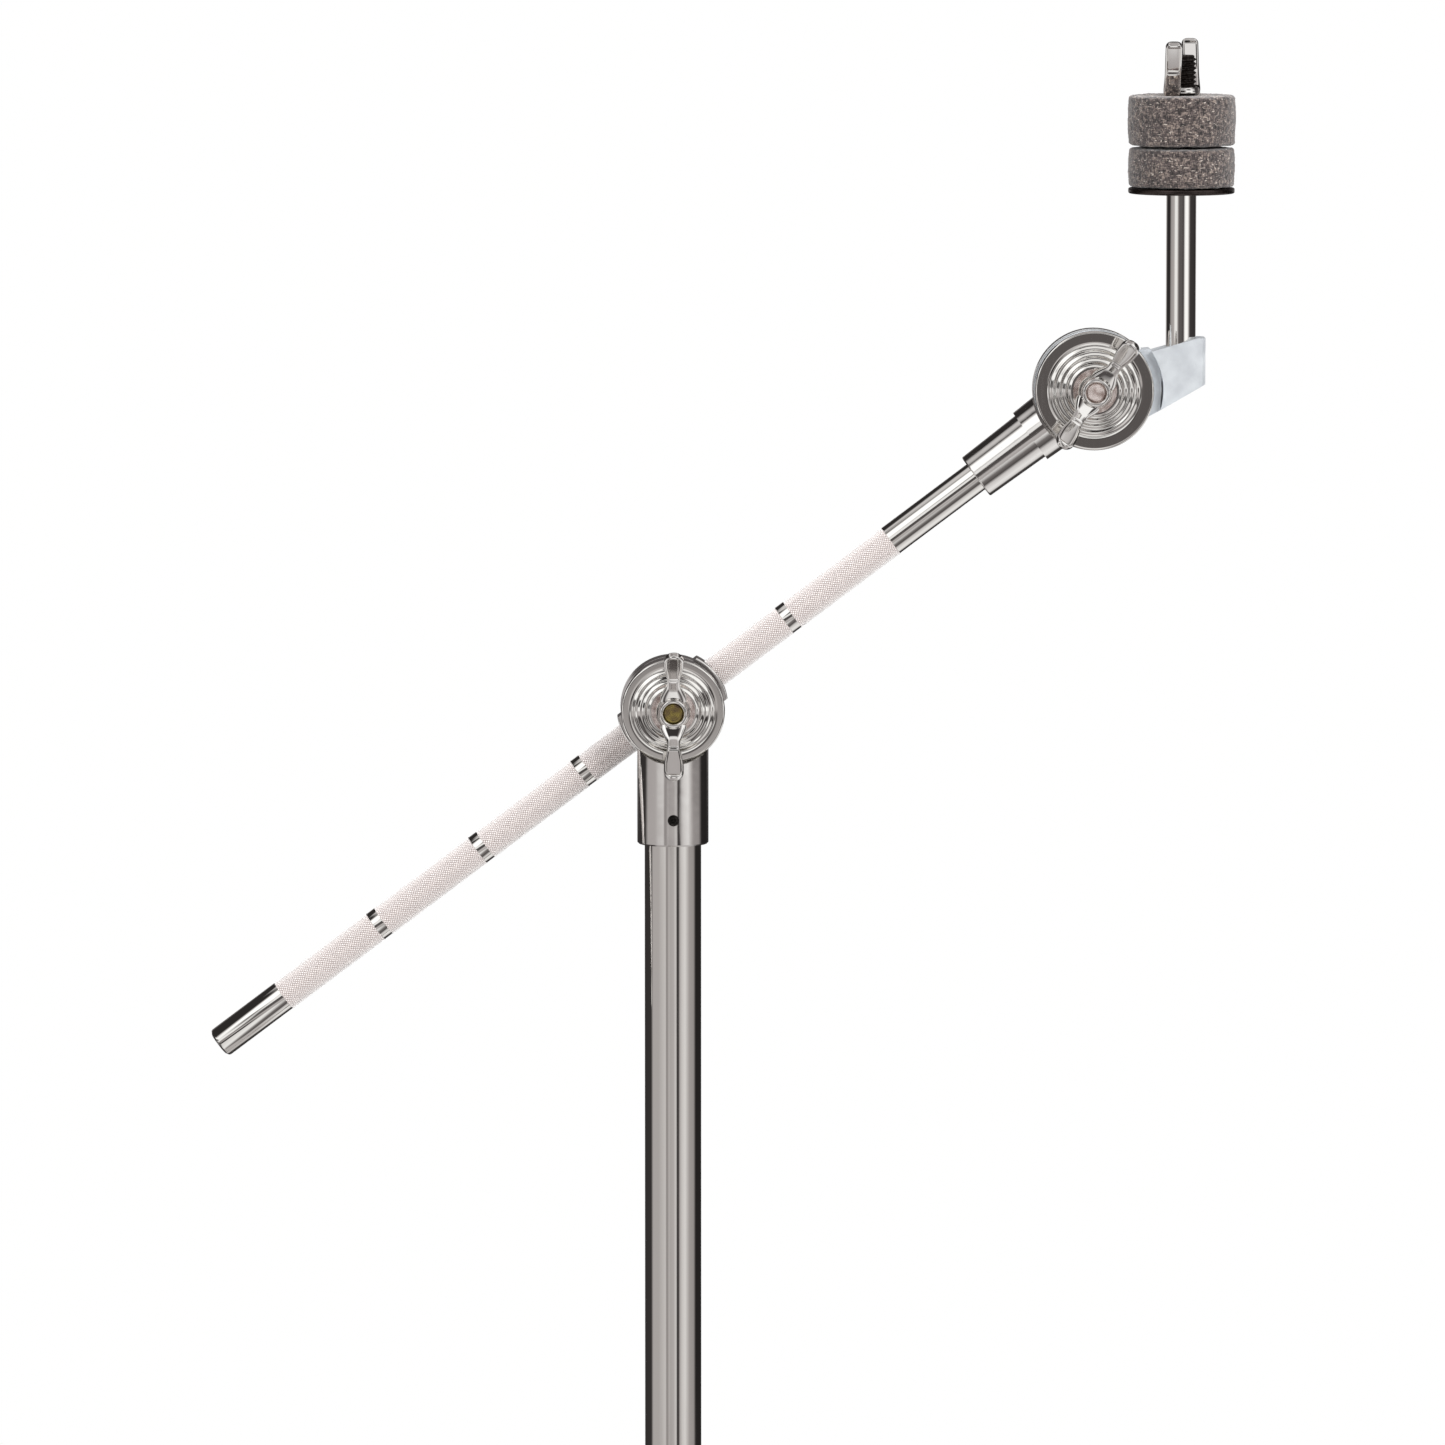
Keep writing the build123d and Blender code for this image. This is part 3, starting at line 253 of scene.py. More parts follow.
def add_node(tree: NodeTree, kind: str, inputs: dict, **settings: object) -> Node:
    """Adds a shader node.

    Args:
        tree: the tree that it goes in.
        kind: the node's type name, less its ShaderNode prefix.
        inputs: a value or an output socket to link, for each input name or number.
        settings: the node's own properties; stops fills a colour ramp with places and colours.

    Returns:
        The node.
    """
    node = tree.nodes.new("ShaderNode" + kind)
    stops = settings.pop("stops", None)
    for name, value in settings.items():
        setattr(node, name, value)
    for key, value in inputs.items():
        if isinstance(value, NodeSocket):
            tree.links.new(value, node.inputs[key])
        else:
            node.inputs[key].default_value = value
    if stops:
        ramp = node.color_ramp
        while len(ramp.elements) < len(stops):
            ramp.elements.new(0.5)
        for element, (at, colour) in zip(ramp.elements, sorted(stops), strict=True):
            element.position, element.color = at, colour
    return node


def mix_colours(
    tree: NodeTree, share: NodeSocket | float, one: object, two: object, **settings: str
) -> NodeSocket:
    """Goes from colour one to colour two by a share from 0 to 1."""
    inputs = {0: share, 6: one, 7: two}
    return add_node(tree, "Mix", inputs, data_type="RGBA", **settings).outputs[2]


def map_range(
    tree: NodeTree, value: NodeSocket, low: float, high: float, **settings: str
) -> NodeSocket:
    """Goes from 0 to 1 as the value goes from low to high."""
    inputs = {0: value, 1: low, 2: high, 3: 0.0, 4: 1.0}
    return add_node(tree, "MapRange", inputs, **settings).outputs[0]


@dataclass
class Surface:
    """A material in the making: its nodes, its Principled shader and object coordinates."""

    tree: NodeTree
    shader: Node
    place: NodeSocket

    def noise(self, size: float, detail: float = 2.0, stretch: tuple = (1, 1, 1)) -> NodeSocket:
        """Noise whose blobs are about size metres wide.

        Args:
            size: the width of a blob, in metres.
            detail: octaves.
            stretch: how many times longer a blob is along x, y and z.

        Returns:
            The noise's factor socket.
        """
        scale = tuple(1 / s for s in stretch)
        turned = add_node(self.tree, "Mapping", {"Vector": self.place, "Scale": scale})
        inputs = {"Vector": turned.outputs[0], "Scale": 1 / size, "Detail": detail}
        return add_node(self.tree, "TexNoise", inputs).outputs[0]

    def maths(self, operation: str, one: NodeSocket, two: NodeSocket | float) -> NodeSocket:
        """Adds, multiplies or divides two values."""
        return add_node(self.tree, "Math", {0: one, 1: two}, operation=operation).outputs[0]

    def blend(self, factor: NodeSocket, stops: list) -> NodeSocket:
        """Colours a factor with hex or grey stops.

        Args:
            factor: a value from 0 to 1.
            stops: pairs of place and either a hex colour or a plain number.

        Returns:
            The ramp's colour socket.
        """
        coloured = [(at, linear(c) if isinstance(c, str) else (c, c, c, 1)) for at, c in stops]
        return add_node(self.tree, "ValToRGB", {"Fac": factor}, stops=coloured).outputs[0]

    def drive(self, socket: str, factor: NodeSocket, stops: list) -> None:
        """Lets a blend of a factor set one of the shader's inputs, such as its roughness."""
        self.tree.links.new(self.blend(factor, stops), self.shader.inputs[socket])

    def relief(
        self,
        height: NodeSocket,
        depth: float,
        strength: float = 1.0,
        under: NodeSocket | None = None,
    ) -> NodeSocket:
        """Bumps the surface by a height of depth metres, over an earlier bump if one is given.

        Args:
            height: a value from 0 to 1.
            depth: the relief's depth in metres.
            strength: how much of it shows.
            under: another bump's normal.

        Returns:
            The new normal.
        """
        inputs = {"Height": height, "Distance": depth, "Strength": strength}
        if under:
            inputs["Normal"] = under
        normal = add_node(self.tree, "Bump", inputs).outputs[0]
        self.tree.links.new(normal, self.shader.inputs["Normal"])
        return normal


def new_material(name: str, colour: str, roughness: float) -> tuple:
    """Makes a material of one Principled shader, and the surface that its pattern goes on."""
    made = bpy.data.materials.new(name)
    made.use_nodes = True
    tree = made.node_tree
    shader = tree.nodes["Principled BSDF"]
    shader.inputs["Base Color"].default_value = linear(colour)
    shader.inputs["Roughness"].default_value = roughness
    place = add_node(tree, "TexCoord", {}).outputs["Object"]
    return made, Surface(tree, shader, place)


@dataclass(frozen=True)
class Finish:
    """A surface finish: one Principled shader with the relief and wear that its maker leaves."""

    name: str
    colour: str
    metallic: float
    roughness: float

    def material(self) -> Material:
        """Builds the material, with its pattern nodes from the finish's own method."""
        made, surface = new_material(self.name, self.colour, self.roughness)
        surface.shader.inputs["Metallic"].default_value = self.metallic
        self.pattern(surface)
        return made

    def pattern(self, on: Surface) -> None:
        """Adds the finish's own relief, colour and wear to the surface."""


class PolishedChrome(Finish):
    """Decorative chrome over nickel on drawn steel tube.

    The eye sees a near-mirror with a cool tint, faint draw lines along the tube under the
    plating, and a few hazy patches where hands have been.
    """

    def pattern(self, on: Surface) -> None:
        """Adds draw lines 0.8 mm apart, hazy patches 30 mm wide and a hairline scuff."""
        haze = on.noise(0.030, 3.0)
        scuff = on.noise(0.0006, 2.0, (1, 1, 30))
        mixed = on.maths("MULTIPLY", haze, scuff)
        stops = [(0.15, self.roughness * 0.6), (0.45, self.roughness * 2.2)]
        on.drive("Roughness", mixed, stops)
        lines = on.noise(0.0008, 1.0, (1, 1, 60))
        on.relief(lines, 0.000002, 0.1)


class CastChrome(Finish):
    """Chrome plate over a zinc die casting.

    The casting is buffed by hand, so the mirror is slightly wavy, like orange peel, and a few
    pin-point pits show.
    """

    def pattern(self, on: Surface) -> None:
        """Adds a wave 5 mm across, pits under 0.5 mm and a haze."""
        wave = on.noise(0.005, 1.0)
        under = on.relief(wave, 0.00003, 0.35)
        grit = on.noise(0.0005, 2.0)
        pits = on.blend(grit, [(0.20, 0.0), (0.26, 1.0)])
        on.relief(pits, 0.00003, 0.4, under)
        haze = on.noise(0.012, 3.0)
        stops = [(0.35, self.roughness * 0.6), (0.75, self.roughness * 2)]
        on.drive("Roughness", haze, stops)


class KnurledChrome(Finish):
    """Chrome plate over a rolled diamond knurl.

    The points take a soft polish and the valleys stay duller, so the whole sparkles white. The
    facets scatter light in every direction, so part of the shine is painted as a pale matt base,
    and the valleys' shade and the reflections across the rod are painted into its colour.
    The point heights are in the mesh and in its attribute named knurl.
    """

    def pattern(self, on: Surface) -> None:
        """Paints shade into the valleys, which are darker than the points, and makes them duller.

        It also paints reflection by the angle to the view: a pinkish grey where the rod faces the
        view, white on the flanks seen at a slant, where the valleys hide, and a painted shade on
        the outermost edge.
        """
        height = add_node(on.tree, "Attribute", {}, attribute_name="knurl").outputs["Fac"]
        # Painted shade: the valleys take a darker pinkish grey than the points.
        tint = on.blend(height, [(0.0, "#8c807d"), (0.4, self.colour), (1.0, "#ffffff")])
        # Painted reflection and shade by the angle to the view: pinkish grey facing it, white on the
        # slanted flanks, dark at the very edge.
        facing = add_node(on.tree, "LayerWeight", {"Blend": 0.5}).outputs["Facing"]
        stops = [(0.04, "#cdc2bf"), (0.16, "#efebe9"), (0.30, "#ffffff"), (0.82, "#ffffff")]
        stops.append((0.92, "#6d6461"))
        painted_view_reflection = on.blend(facing, stops)
        both = mix_colours(on.tree, 1.0, tint, painted_view_reflection, blend_type="MULTIPLY")
        on.tree.links.new(both, on.shader.inputs["Base Color"])
        stops = [(0.0, 0.40), (0.5, self.roughness), (1.0, 0.12)]
        on.drive("Roughness", height, stops)
        fine = on.noise(0.0004, 2.0)
        on.relief(fine, 0.000015, 0.4)


class SatinZinc(Finish):
    """Bare tumbled zinc block with a milled face.

    The eye sees a soft blue-grey sheen, fine cross grain and small dings.
    """

    def pattern(self, on: Surface) -> None:
        """Adds mill grain 0.4 mm apart, cloudy sheen 6 mm wide and dings."""
        cloud = on.noise(0.006, 4.0)
        on.drive("Base Color", cloud, [(0.35, "#cfd4d9"), (0.65, self.colour)])
        grain = on.noise(0.0004, 2.0, (25, 1, 1))
        under = on.relief(grain, 0.00002, 0.5)
        dings = on.blend(on.noise(0.0014, 1.0), [(0.22, 0.0), (0.30, 1.0)])
        on.relief(dings, 0.00008, 0.5, under)
        stops = [(0.3, self.roughness * 0.8), (0.7, self.roughness * 1.4)]
        on.drive("Roughness", cloud, stops)


@dataclass(frozen=True)
class TurnedMetal(Finish):
    """A faced or turned metal end, with the tool's fine rings round its own middle."""

    middle: tuple = (0.0, 0.0, 0.0)
    axis: str = "Y"
    ring: float = 0.0005
    second: str = "#8d8a86"

    def pattern(self, on: Surface) -> None:
        """Adds tool rings at the ring pitch and a stain between the two colours."""
        shift = tuple(-m for m in self.middle)
        centred = add_node(on.tree, "Mapping", {"Vector": on.place, "Location": shift}).outputs[0]
        # A ring wave repeats every 2 pi / (20 x scale) metres.
        scale = 2 * pi / 20 / self.ring
        inputs = {"Vector": centred, "Scale": scale, "Distortion": 0.6, "Detail": 2.0}
        settings = {"wave_type": "RINGS", "rings_direction": self.axis}
        rings = add_node(on.tree, "TexWave", inputs, **settings).outputs["Fac"]
        on.relief(rings, 0.00003, 0.6)
        stain = on.noise(0.003, 4.0)
        on.drive("Base Color", stain, [(0.35, self.second), (0.62, self.colour)])


class BlackOxide(Finish):
    """Blackened steel grub screws and cap screws: an oily near-black with bare worn edges."""

    def pattern(self, on: Surface) -> None:
        """Adds a mottle 1 mm across in colour and roughness."""
        mottle = on.noise(0.001, 4.0)
        on.drive("Base Color", mottle, [(0.4, self.colour), (0.75, "#4a4644")])
        stops = [(0.3, self.roughness), (0.7, self.roughness * 1.5)]
        on.drive("Roughness", mottle, stops)
        on.relief(mottle, 0.00002, 0.4)


class DarkPlate(Finish):
    """Black nickel over a turned steel washer: a smoky mirror with handling scuffs."""

    def pattern(self, on: Surface) -> None:
        """Adds scuffs 0.3 mm wide."""
        scuff = on.noise(0.0003, 3.0, (12, 1, 1))
        stops = [(0.4, self.roughness), (0.8, self.roughness * 2.5)]
        on.drive("Roughness", scuff, stops)
        on.relief(scuff, 0.00001, 0.4)


class MouldedNylon(Finish):
    """Injection-moulded black nylon with a fine spark-eroded skin."""

    def pattern(self, on: Surface) -> None:
        """Adds a skin grain 0.35 mm across."""
        grain = on.noise(0.00035, 3.0)
        on.relief(grain, 0.00003, 0.6)
        stops = [(0.3, self.roughness * 0.8), (0.7, self.roughness * 1.2)]
        on.drive("Roughness", grain, stops)


class PressedFibre(Finish):
    """Brown vulcanised fibre friction washer with short crossed fibres."""

    def pattern(self, on: Surface) -> None:
        """Adds fibres 0.2 mm wide and 3 mm long in two directions."""
        one = on.noise(0.0002, 2.0, (15, 1, 1))
        two = on.noise(0.0002, 2.0, (1, 1, 15))
        both = on.maths("MULTIPLY", one, two)
        on.drive("Base Color", both, [(0.12, "#3f2f20"), (0.4, self.colour)])
        on.relief(both, 0.00005, 0.7)


class MouldedRubber(Finish):
    """Moulded black rubber feet and plugs: matt, faintly grey with dust in the grain."""

    def pattern(self, on: Surface) -> None:
        """Adds a moulded grain 0.6 mm across and dusty patches 8 mm wide."""
        grain = on.noise(0.0006, 3.0)
        on.relief(grain, 0.00006, 0.6)
        dust = on.noise(0.008, 4.0)
        on.drive("Base Color", dust, [(0.4, self.colour), (0.75, "#34322f")])
        stops = [(0.3, self.roughness), (0.7, self.roughness * 1.2)]
        on.drive("Roughness", dust, stops)


class WoolFelt(Finish):
    """Pressed grey wool felt.

    Undyed, grey and brown fibres lie in every direction, so the colour is heathered, with pale
    and near-black flecks, and the surface is soft and fuzzy with a slight sheen.
    """

    def pattern(self, on: Surface) -> None:
        """Mixes heathered fibres, flecks 0.5 mm across and a fuzzy relief.

        Real fibres are 0.02 mm thick; they are drawn 0.25 mm thick so that they show.
        """
        fibre_a = on.noise(0.00025, 3.0, (7, 3, 1))
        fibre_b = on.noise(0.00025, 3.0, (1, 5, 6))
        heather = on.noise(0.0016, 4.0)
        both = on.maths("ADD", fibre_a, fibre_b)
        summed = on.maths("ADD", both, heather)
        third = on.maths("DIVIDE", summed, 3.0)
        stops = [(0.42, "#120d0c"), (0.47, "#2f2726"), (0.52, self.colour), (0.59, "#86796f")]
        base = on.blend(third, stops)
        fleck = on.noise(0.0005, 1.0, (3, 2, 1))
        pale = on.blend(fleck, [(0.66, 0.0), (0.72, 1.0)])
        dark = on.blend(fleck, [(0.28, 1.0), (0.33, 0.0)])
        mixed = base
        for mask, fleck_colour in ((pale, "#b5aba1"), (dark, "#1a1615")):
            mixed = mix_colours(on.tree, mask, mixed, linear(fleck_colour))
        on.tree.links.new(mixed, on.shader.inputs["Base Color"])
        under = on.relief(third, 0.0008, 0.9)
        on.relief(fleck, 0.0003, 0.6, under)
        on.shader.inputs["Sheen Weight"].default_value = 0.35
        on.shader.inputs["Sheen Roughness"].default_value = 0.6
        on.shader.inputs["Specular IOR Level"].default_value = 0.2


# ---------------------------------------------------------------- the modelled pieces
@dataclass
class BoomArm:
    """The boom's steel rod: rolled diamond knurl with plain bands, and plain ends."""

    radius: float = 6.35 * MM
    plain_radius: float = 6.15 * MM
    rear_end: float = -224.3 * MM
    knurl_start: float = -192.1 * MM
    knurl_end: float = 107.9 * MM
    last_band: float = 57.4 * MM
    band_pitch: float = 50.5 * MM
    band_width: float = 4.0 * MM
    band_count: int = 5
    diamonds: int = 36
    half_diamond: float = 0.62 * MM
    groove: float = 0.21 * MM
    chamfer: float = 1.5 * MM
    step: float = 0.15 * MM

    def rows(self, front: float) -> np.ndarray:
        """Works out the rod's rows: place along it, mean radius and knurl depth.

        Knurled runs have a row at each half diamond; plain runs have a row at each end and a
        pair close together at each step, so that the step is crisp.

        Args:
            front: where the rod ends, along its axis.

        Returns:
            An array of rows of place, radius and depth, all in metres.
        """
        bands = self.last_band - self.band_pitch * np.arange(self.band_count)[::-1]
        starts = np.concatenate([[self.knurl_start], bands + self.band_width / 2])
        ends = np.concatenate([bands - self.band_width / 2, [self.knurl_end]])
        plain, cut = self.plain_radius, self.chamfer
        parts = [
            [
                (self.rear_end, plain - cut, 0),
                (self.rear_end + cut * 0.5, plain - cut * 0.16, 0),
                (self.rear_end + cut, plain, 0),
            ]
        ]
        for start, end in zip(starts, ends, strict=True):
            count = int((end - start) / self.half_diamond)
            along = np.linspace(start, end, count + 1)
            run = np.stack([along, 0 * along + self.radius, 0 * along + self.groove], axis=1)
            parts += [[(start - self.step, plain, 0)], run, [(end + self.step, plain, 0)]]
        parts.append([(front - cut, plain, 0), (front, plain - cut, 0)])
        return np.concatenate([np.array(p, float) for p in parts])

    def build(self, finish: Material, plain: Material) -> Object:
        """Builds the rod.

        The point in row i and column j sits at the row's radius, less the groove depth where
        i + j is even. Each quad is split along the diagonal that joins its two low corners, so
        that four triangles meet in a point on every high corner and make a pyramid.

        Args:
            finish: the knurl's material.
            plain: the plain bands' and ends' material.

        Returns:
            The rod.
        """
        axis = joint_axis("boom_slide")
        middle = node_centre("boom_arm")
        # The rod's place zero is where it passes the tube axis, at x = 0.
        ahead = middle.x / axis[0]
        where = spot(middle - Vector(axis) * ahead, axis, (0, -1, 0))
        rows = self.rows(2 * ahead - self.rear_end)
        columns = 2 * self.diamonds
        i, j = np.indices((len(rows), columns))
        low_point = ((i + j) % 2 == 0).astype(float)
        radius = rows[:, 1:2] - rows[:, 2:3] * low_point
        points = where.turned(radius, circle(columns), rows[:, :1])
        quads = grid_faces(len(rows), columns)
        first_low = (quads[:, 0] // columns + quads[:, 0] % columns) % 2 == 0
        split = np.where(first_low[:, None], quads, np.roll(quads, -1, axis=1))
        flat = np.concatenate([split[:, [0, 1, 2]], split[:, [0, 2, 3]]])
        faces = flat.tolist() + end_caps(len(rows), columns)
        piece = new_piece("boom_arm_knurled_rod", points, faces, 22.0, False)
        # Point heights: 0 in the valleys, 1 on the points and plain rows; the knurl material paints
        # shade into the valleys by them.
        height = np.where(rows[:, 2:3] > 0, 1 - low_point, 1.0).astype(np.float32)
        layer = piece.data.attributes.new("knurl", "FLOAT", "POINT")
        layer.data.foreach_set("value", height.ravel())
        fit_out(piece, Body.BOOM, finish, "knurled_chrome", "boom_arm")
        piece.data.materials.append(plain)
        rough = (rows[:-1, 2] > 0) & (rows[1:, 2] > 0)
        bare = np.repeat(~rough, columns)
        bare = np.concatenate([bare, bare, [True, True]])
        piece.data.polygons.foreach_set("material_index", bare.astype(np.int32))
        return piece


@dataclass
class CymbalRod:
    """The rod that the cymbal sits on: plain below its shoulder and threaded above."""

    radius: float = 5.9 * MM
    thread_radius: float = 5.7 * MM
    pitch: float = 1.75 * MM
    thread_depth: float = 0.95 * MM
    shoulder: float = 75.2 * MM
    chamfer: float = 1.2 * MM
    rows_to_turn: int = 10
    columns: int = 60

    def build(self, finish: Material, cut: Material) -> Object:
        """Builds the rod with a real helical thread.

        Above the shoulder the radius is the thread's, less its depth times a triangle wave with
        flattened ends, whose phase is height over pitch less angle over a turn. The depth grows
        from nothing over the first turn, and the end is chamfered.

        Args:
            finish: the plain part's material.
            cut: the thread's material, a near-black that paints the shade and dark reflections in
                the chrome thread's flanks.

        Returns:
            The rod.
        """
        low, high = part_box("cymbal_rod")
        where = upright(low, high)
        top = high.z - low.z
        count = int((top - self.shoulder) / self.pitch * self.rows_to_turn)
        plain = np.array([[0, self.radius], [self.shoulder - 0.2 * MM, self.radius]])
        threaded = np.linspace(self.shoulder, top, count)
        along = np.concatenate([plain[:, 0], threaded])[:, None]
        angle = circle(self.columns)
        phase = (along / self.pitch - angle / (2 * pi)) % 1
        wave = np.clip(1.25 * (1 - np.abs(2 * phase - 1)) - 0.1, 0, 1)
        fade = smooth_step(self.shoulder, self.shoulder + self.pitch, along)
        below = along < self.shoulder
        outer = np.where(below, self.radius, self.thread_radius)
        radius = outer - self.thread_depth * wave * fade * ~below
        end = np.clip((top - along) / self.chamfer, 0, 1)
        bevel = self.thread_radius - self.chamfer * (1 - end)
        radius = np.where(below, radius, np.minimum(radius, bevel))
        points = where.turned(radius, angle, along)
        rows = len(along)
        faces = grid_faces(rows, self.columns).tolist() + end_caps(rows, self.columns)
        piece = new_piece("cymbal_rod_threaded", points, faces, 28.0, False)
        fit_out(piece, Body.ROD_HEAD, finish, "chrome", "cymbal_rod")
        # The threaded faces take the near-black material: painted shade and dark reflection on a
        # chrome thread.
        piece.data.materials.append(cut)
        cut_faces = np.arange(len(faces)) >= self.columns
        cut_faces[-2] = False
        piece.data.polygons.foreach_set("material_index", cut_faces.astype(np.int32))
        return piece


@dataclass
class FeltWasher:
    """A thick felt washer: cut from a pressed sheet, so its edges are soft and a little uneven."""

    node: str
    body: Body
    seed: int
    bore: float = 6.6 * MM
    edge: float = 2.1 * MM
    fuzz: float = 0.32 * MM
    columns: int = 220
    rows: int = 150

    def build(self, finish: Material) -> Object:
        """Builds the washer.

        The section is a rounded rectangle, followed round its outline by even steps of
        distance. Each point then moves along the outline's outward direction by a sum of sine
        waves with seeded directions, which stands for the felt's lumps and nap.

        Args:
            finish: the felt's material.

        Returns:
            The washer.
        """
        low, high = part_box(self.node)
        where = upright(low, high)
        margin = self.fuzz * 0.9
        outer, height = (high.x - low.x) / 2 - margin, high.z - low.z - 2 * margin
        section, outward = self.section(outer, height)
        angle = circle(self.columns)
        radius = section[:, :1] + 0 * angle
        level = section[:, 1:] + margin + 0 * angle
        base = np.stack([radius * np.cos(angle), radius * np.sin(angle), level], axis=-1)
        lift = self.lumps(base)
        radius = radius + outward[:, :1] * lift
        level = np.clip(level + outward[:, 1:] * lift, 0, high.z - low.z)
        points = where.turned(radius, angle, level)
        faces = grid_faces(self.rows, self.columns, close_rows=True).tolist()
        piece = new_piece(self.node + "_pressed_wool", points, faces, 180.0)
        fit_out(piece, self.body, finish, "felt", self.node)
        return piece

    def section(self, outer: float, height: float) -> tuple:
        """Walks round the washer's rounded section.

        Args:
            outer: the outer radius.
            height: the section's height.

        Returns:
            Points as radius and height, and the outward direction at each.
        """
        core = np.array([(outer - self.bore) / 2, height / 2]) - self.edge
        turn = np.linspace(0, 2 * pi, 4001)[:-1]
        corner = np.stack([np.cos(turn), np.sin(turn)], axis=1)
        steep = np.abs(corner) / np.abs(corner).max(axis=1, keepdims=True)
        side = np.minimum(1, steep * 1.6 * core.max() / core)
        outline = np.sign(corner) * core * side + corner * self.edge
        steps = np.linalg.norm(np.roll(outline, -1, axis=0) - outline, axis=1).cumsum()
        wanted = np.linspace(0, steps[-1], self.rows, endpoint=False)
        picked = np.stack([np.interp(wanted, steps, outline[:, k]) for k in (0, 1)], axis=1)
        ahead, behind = np.roll(picked, -1, axis=0), np.roll(picked, 1, axis=0)
        tangent = ahead - behind
        normal = np.stack([tangent[:, 1], -tangent[:, 0]], axis=1)
        normal /= np.linalg.norm(normal, axis=1, keepdims=True)
        centre = np.array([(outer + self.bore) / 2, height / 2])
        return picked + centre, normal

    def lumps(self, base: np.ndarray) -> np.ndarray:
        """Adds up seeded sine waves, from lumps 9 mm long to nap 0.7 mm long.

        Args:
            base: points in metres.

        Returns:
            A height for each, at most about the fuzz.
        """
        rng = np.random.default_rng(self.seed)
        total = np.zeros(base.shape[:-1])
        for length, share in ((9 * MM, 0.35), (3.5 * MM, 0.25), (1.5 * MM, 0.25), (0.7 * MM, 0.25)):
            for _ in range(7):
                way = rng.normal(size=3)
                way *= 2 * pi / length / np.linalg.norm(way)
                total += share / 7**0.5 * np.sin(base @ way + rng.uniform(0, 2 * pi))
        return np.clip(total, -1, 1) * self.fuzz * 0.8


@dataclass
class RippleCover:
    """The tilter's pressed front cover: a flat rim and rings that rise to the middle."""

    node: str
    body: Body
    rings: tuple
    sheet: float = 1.2 * MM
    rim_round: float = 0.9 * MM
    bore: float = 4.4 * MM
    slope: float = 0.8 * MM
    ripple: float = 0.16 * MM
    ripple_width: float = 0.6 * MM
    columns: int = 128

    def build(self, finish: Material) -> Object:
        """Builds the cover as a turned sheet.

        The face's height over the rim rises by smooth steps, one at each ring radius. Each step
        has a small crest on its inner side and a groove on its outer side, so that the rings
        read as ripples. The back follows the face one sheet behind.

        Args:
            finish: the cover's material.

        Returns:
            The cover.
        """
        low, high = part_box(self.node)
        middle = (low + high) / 2
        where = spot(Vector((middle.x, high.y, middle.z)), (0, -1, 0), (1, 0, 0))
        outer, depth = (high.x - low.x) / 2, high.y - low.y
        rise = depth - self.sheet
        radius = np.linspace(outer - self.rim_round, self.bore, 150)
        face = self.sheet + self.rise_at(radius, rise)
        back = np.maximum(face - self.sheet, 0)
        quarter = np.linspace(0, pi / 2, 9)
        rim = np.stack(
            [
                outer - self.rim_round + self.rim_round * np.cos(quarter),
                self.sheet - self.rim_round + self.rim_round * np.sin(quarter),
            ],
            axis=1,
        )
        front = np.stack([radius[1:], face[1:]], axis=1)
        rear = np.stack([radius[::-1], back[::-1]], axis=1)
        profile = np.concatenate([[[outer, 0]], rim, front, rear])
        points = lathe_points(where, profile, self.columns)
        faces = grid_faces(len(profile), self.columns, close_rows=True).tolist()
        piece = new_piece(self.node + "_pressed", points, faces, 40.0)
        return fit_out(piece, self.body, finish, "chrome", self.node)

    def rise_at(self, radius: np.ndarray, rise: float) -> np.ndarray:
        """Height of the rings over the rim at each radius.

        Args:
            radius: places from the axis, in metres.
            rise: the whole rise.

        Returns:
            Heights in metres.
        """
        height = np.zeros_like(radius)
        step = rise / len(self.rings)
        for ring in self.rings:
            at = ring * MM
            height += step * smooth_step(at + self.slope, at - self.slope, radius)
            for sign, away in ((1, -0.7 * MM), (-1, 0.9 * MM)):
                off = (radius - at - away) / self.ripple_width
                height += sign * self.ripple * np.exp(-(off**2))
        return np.clip(height, -0.3 * MM, rise)


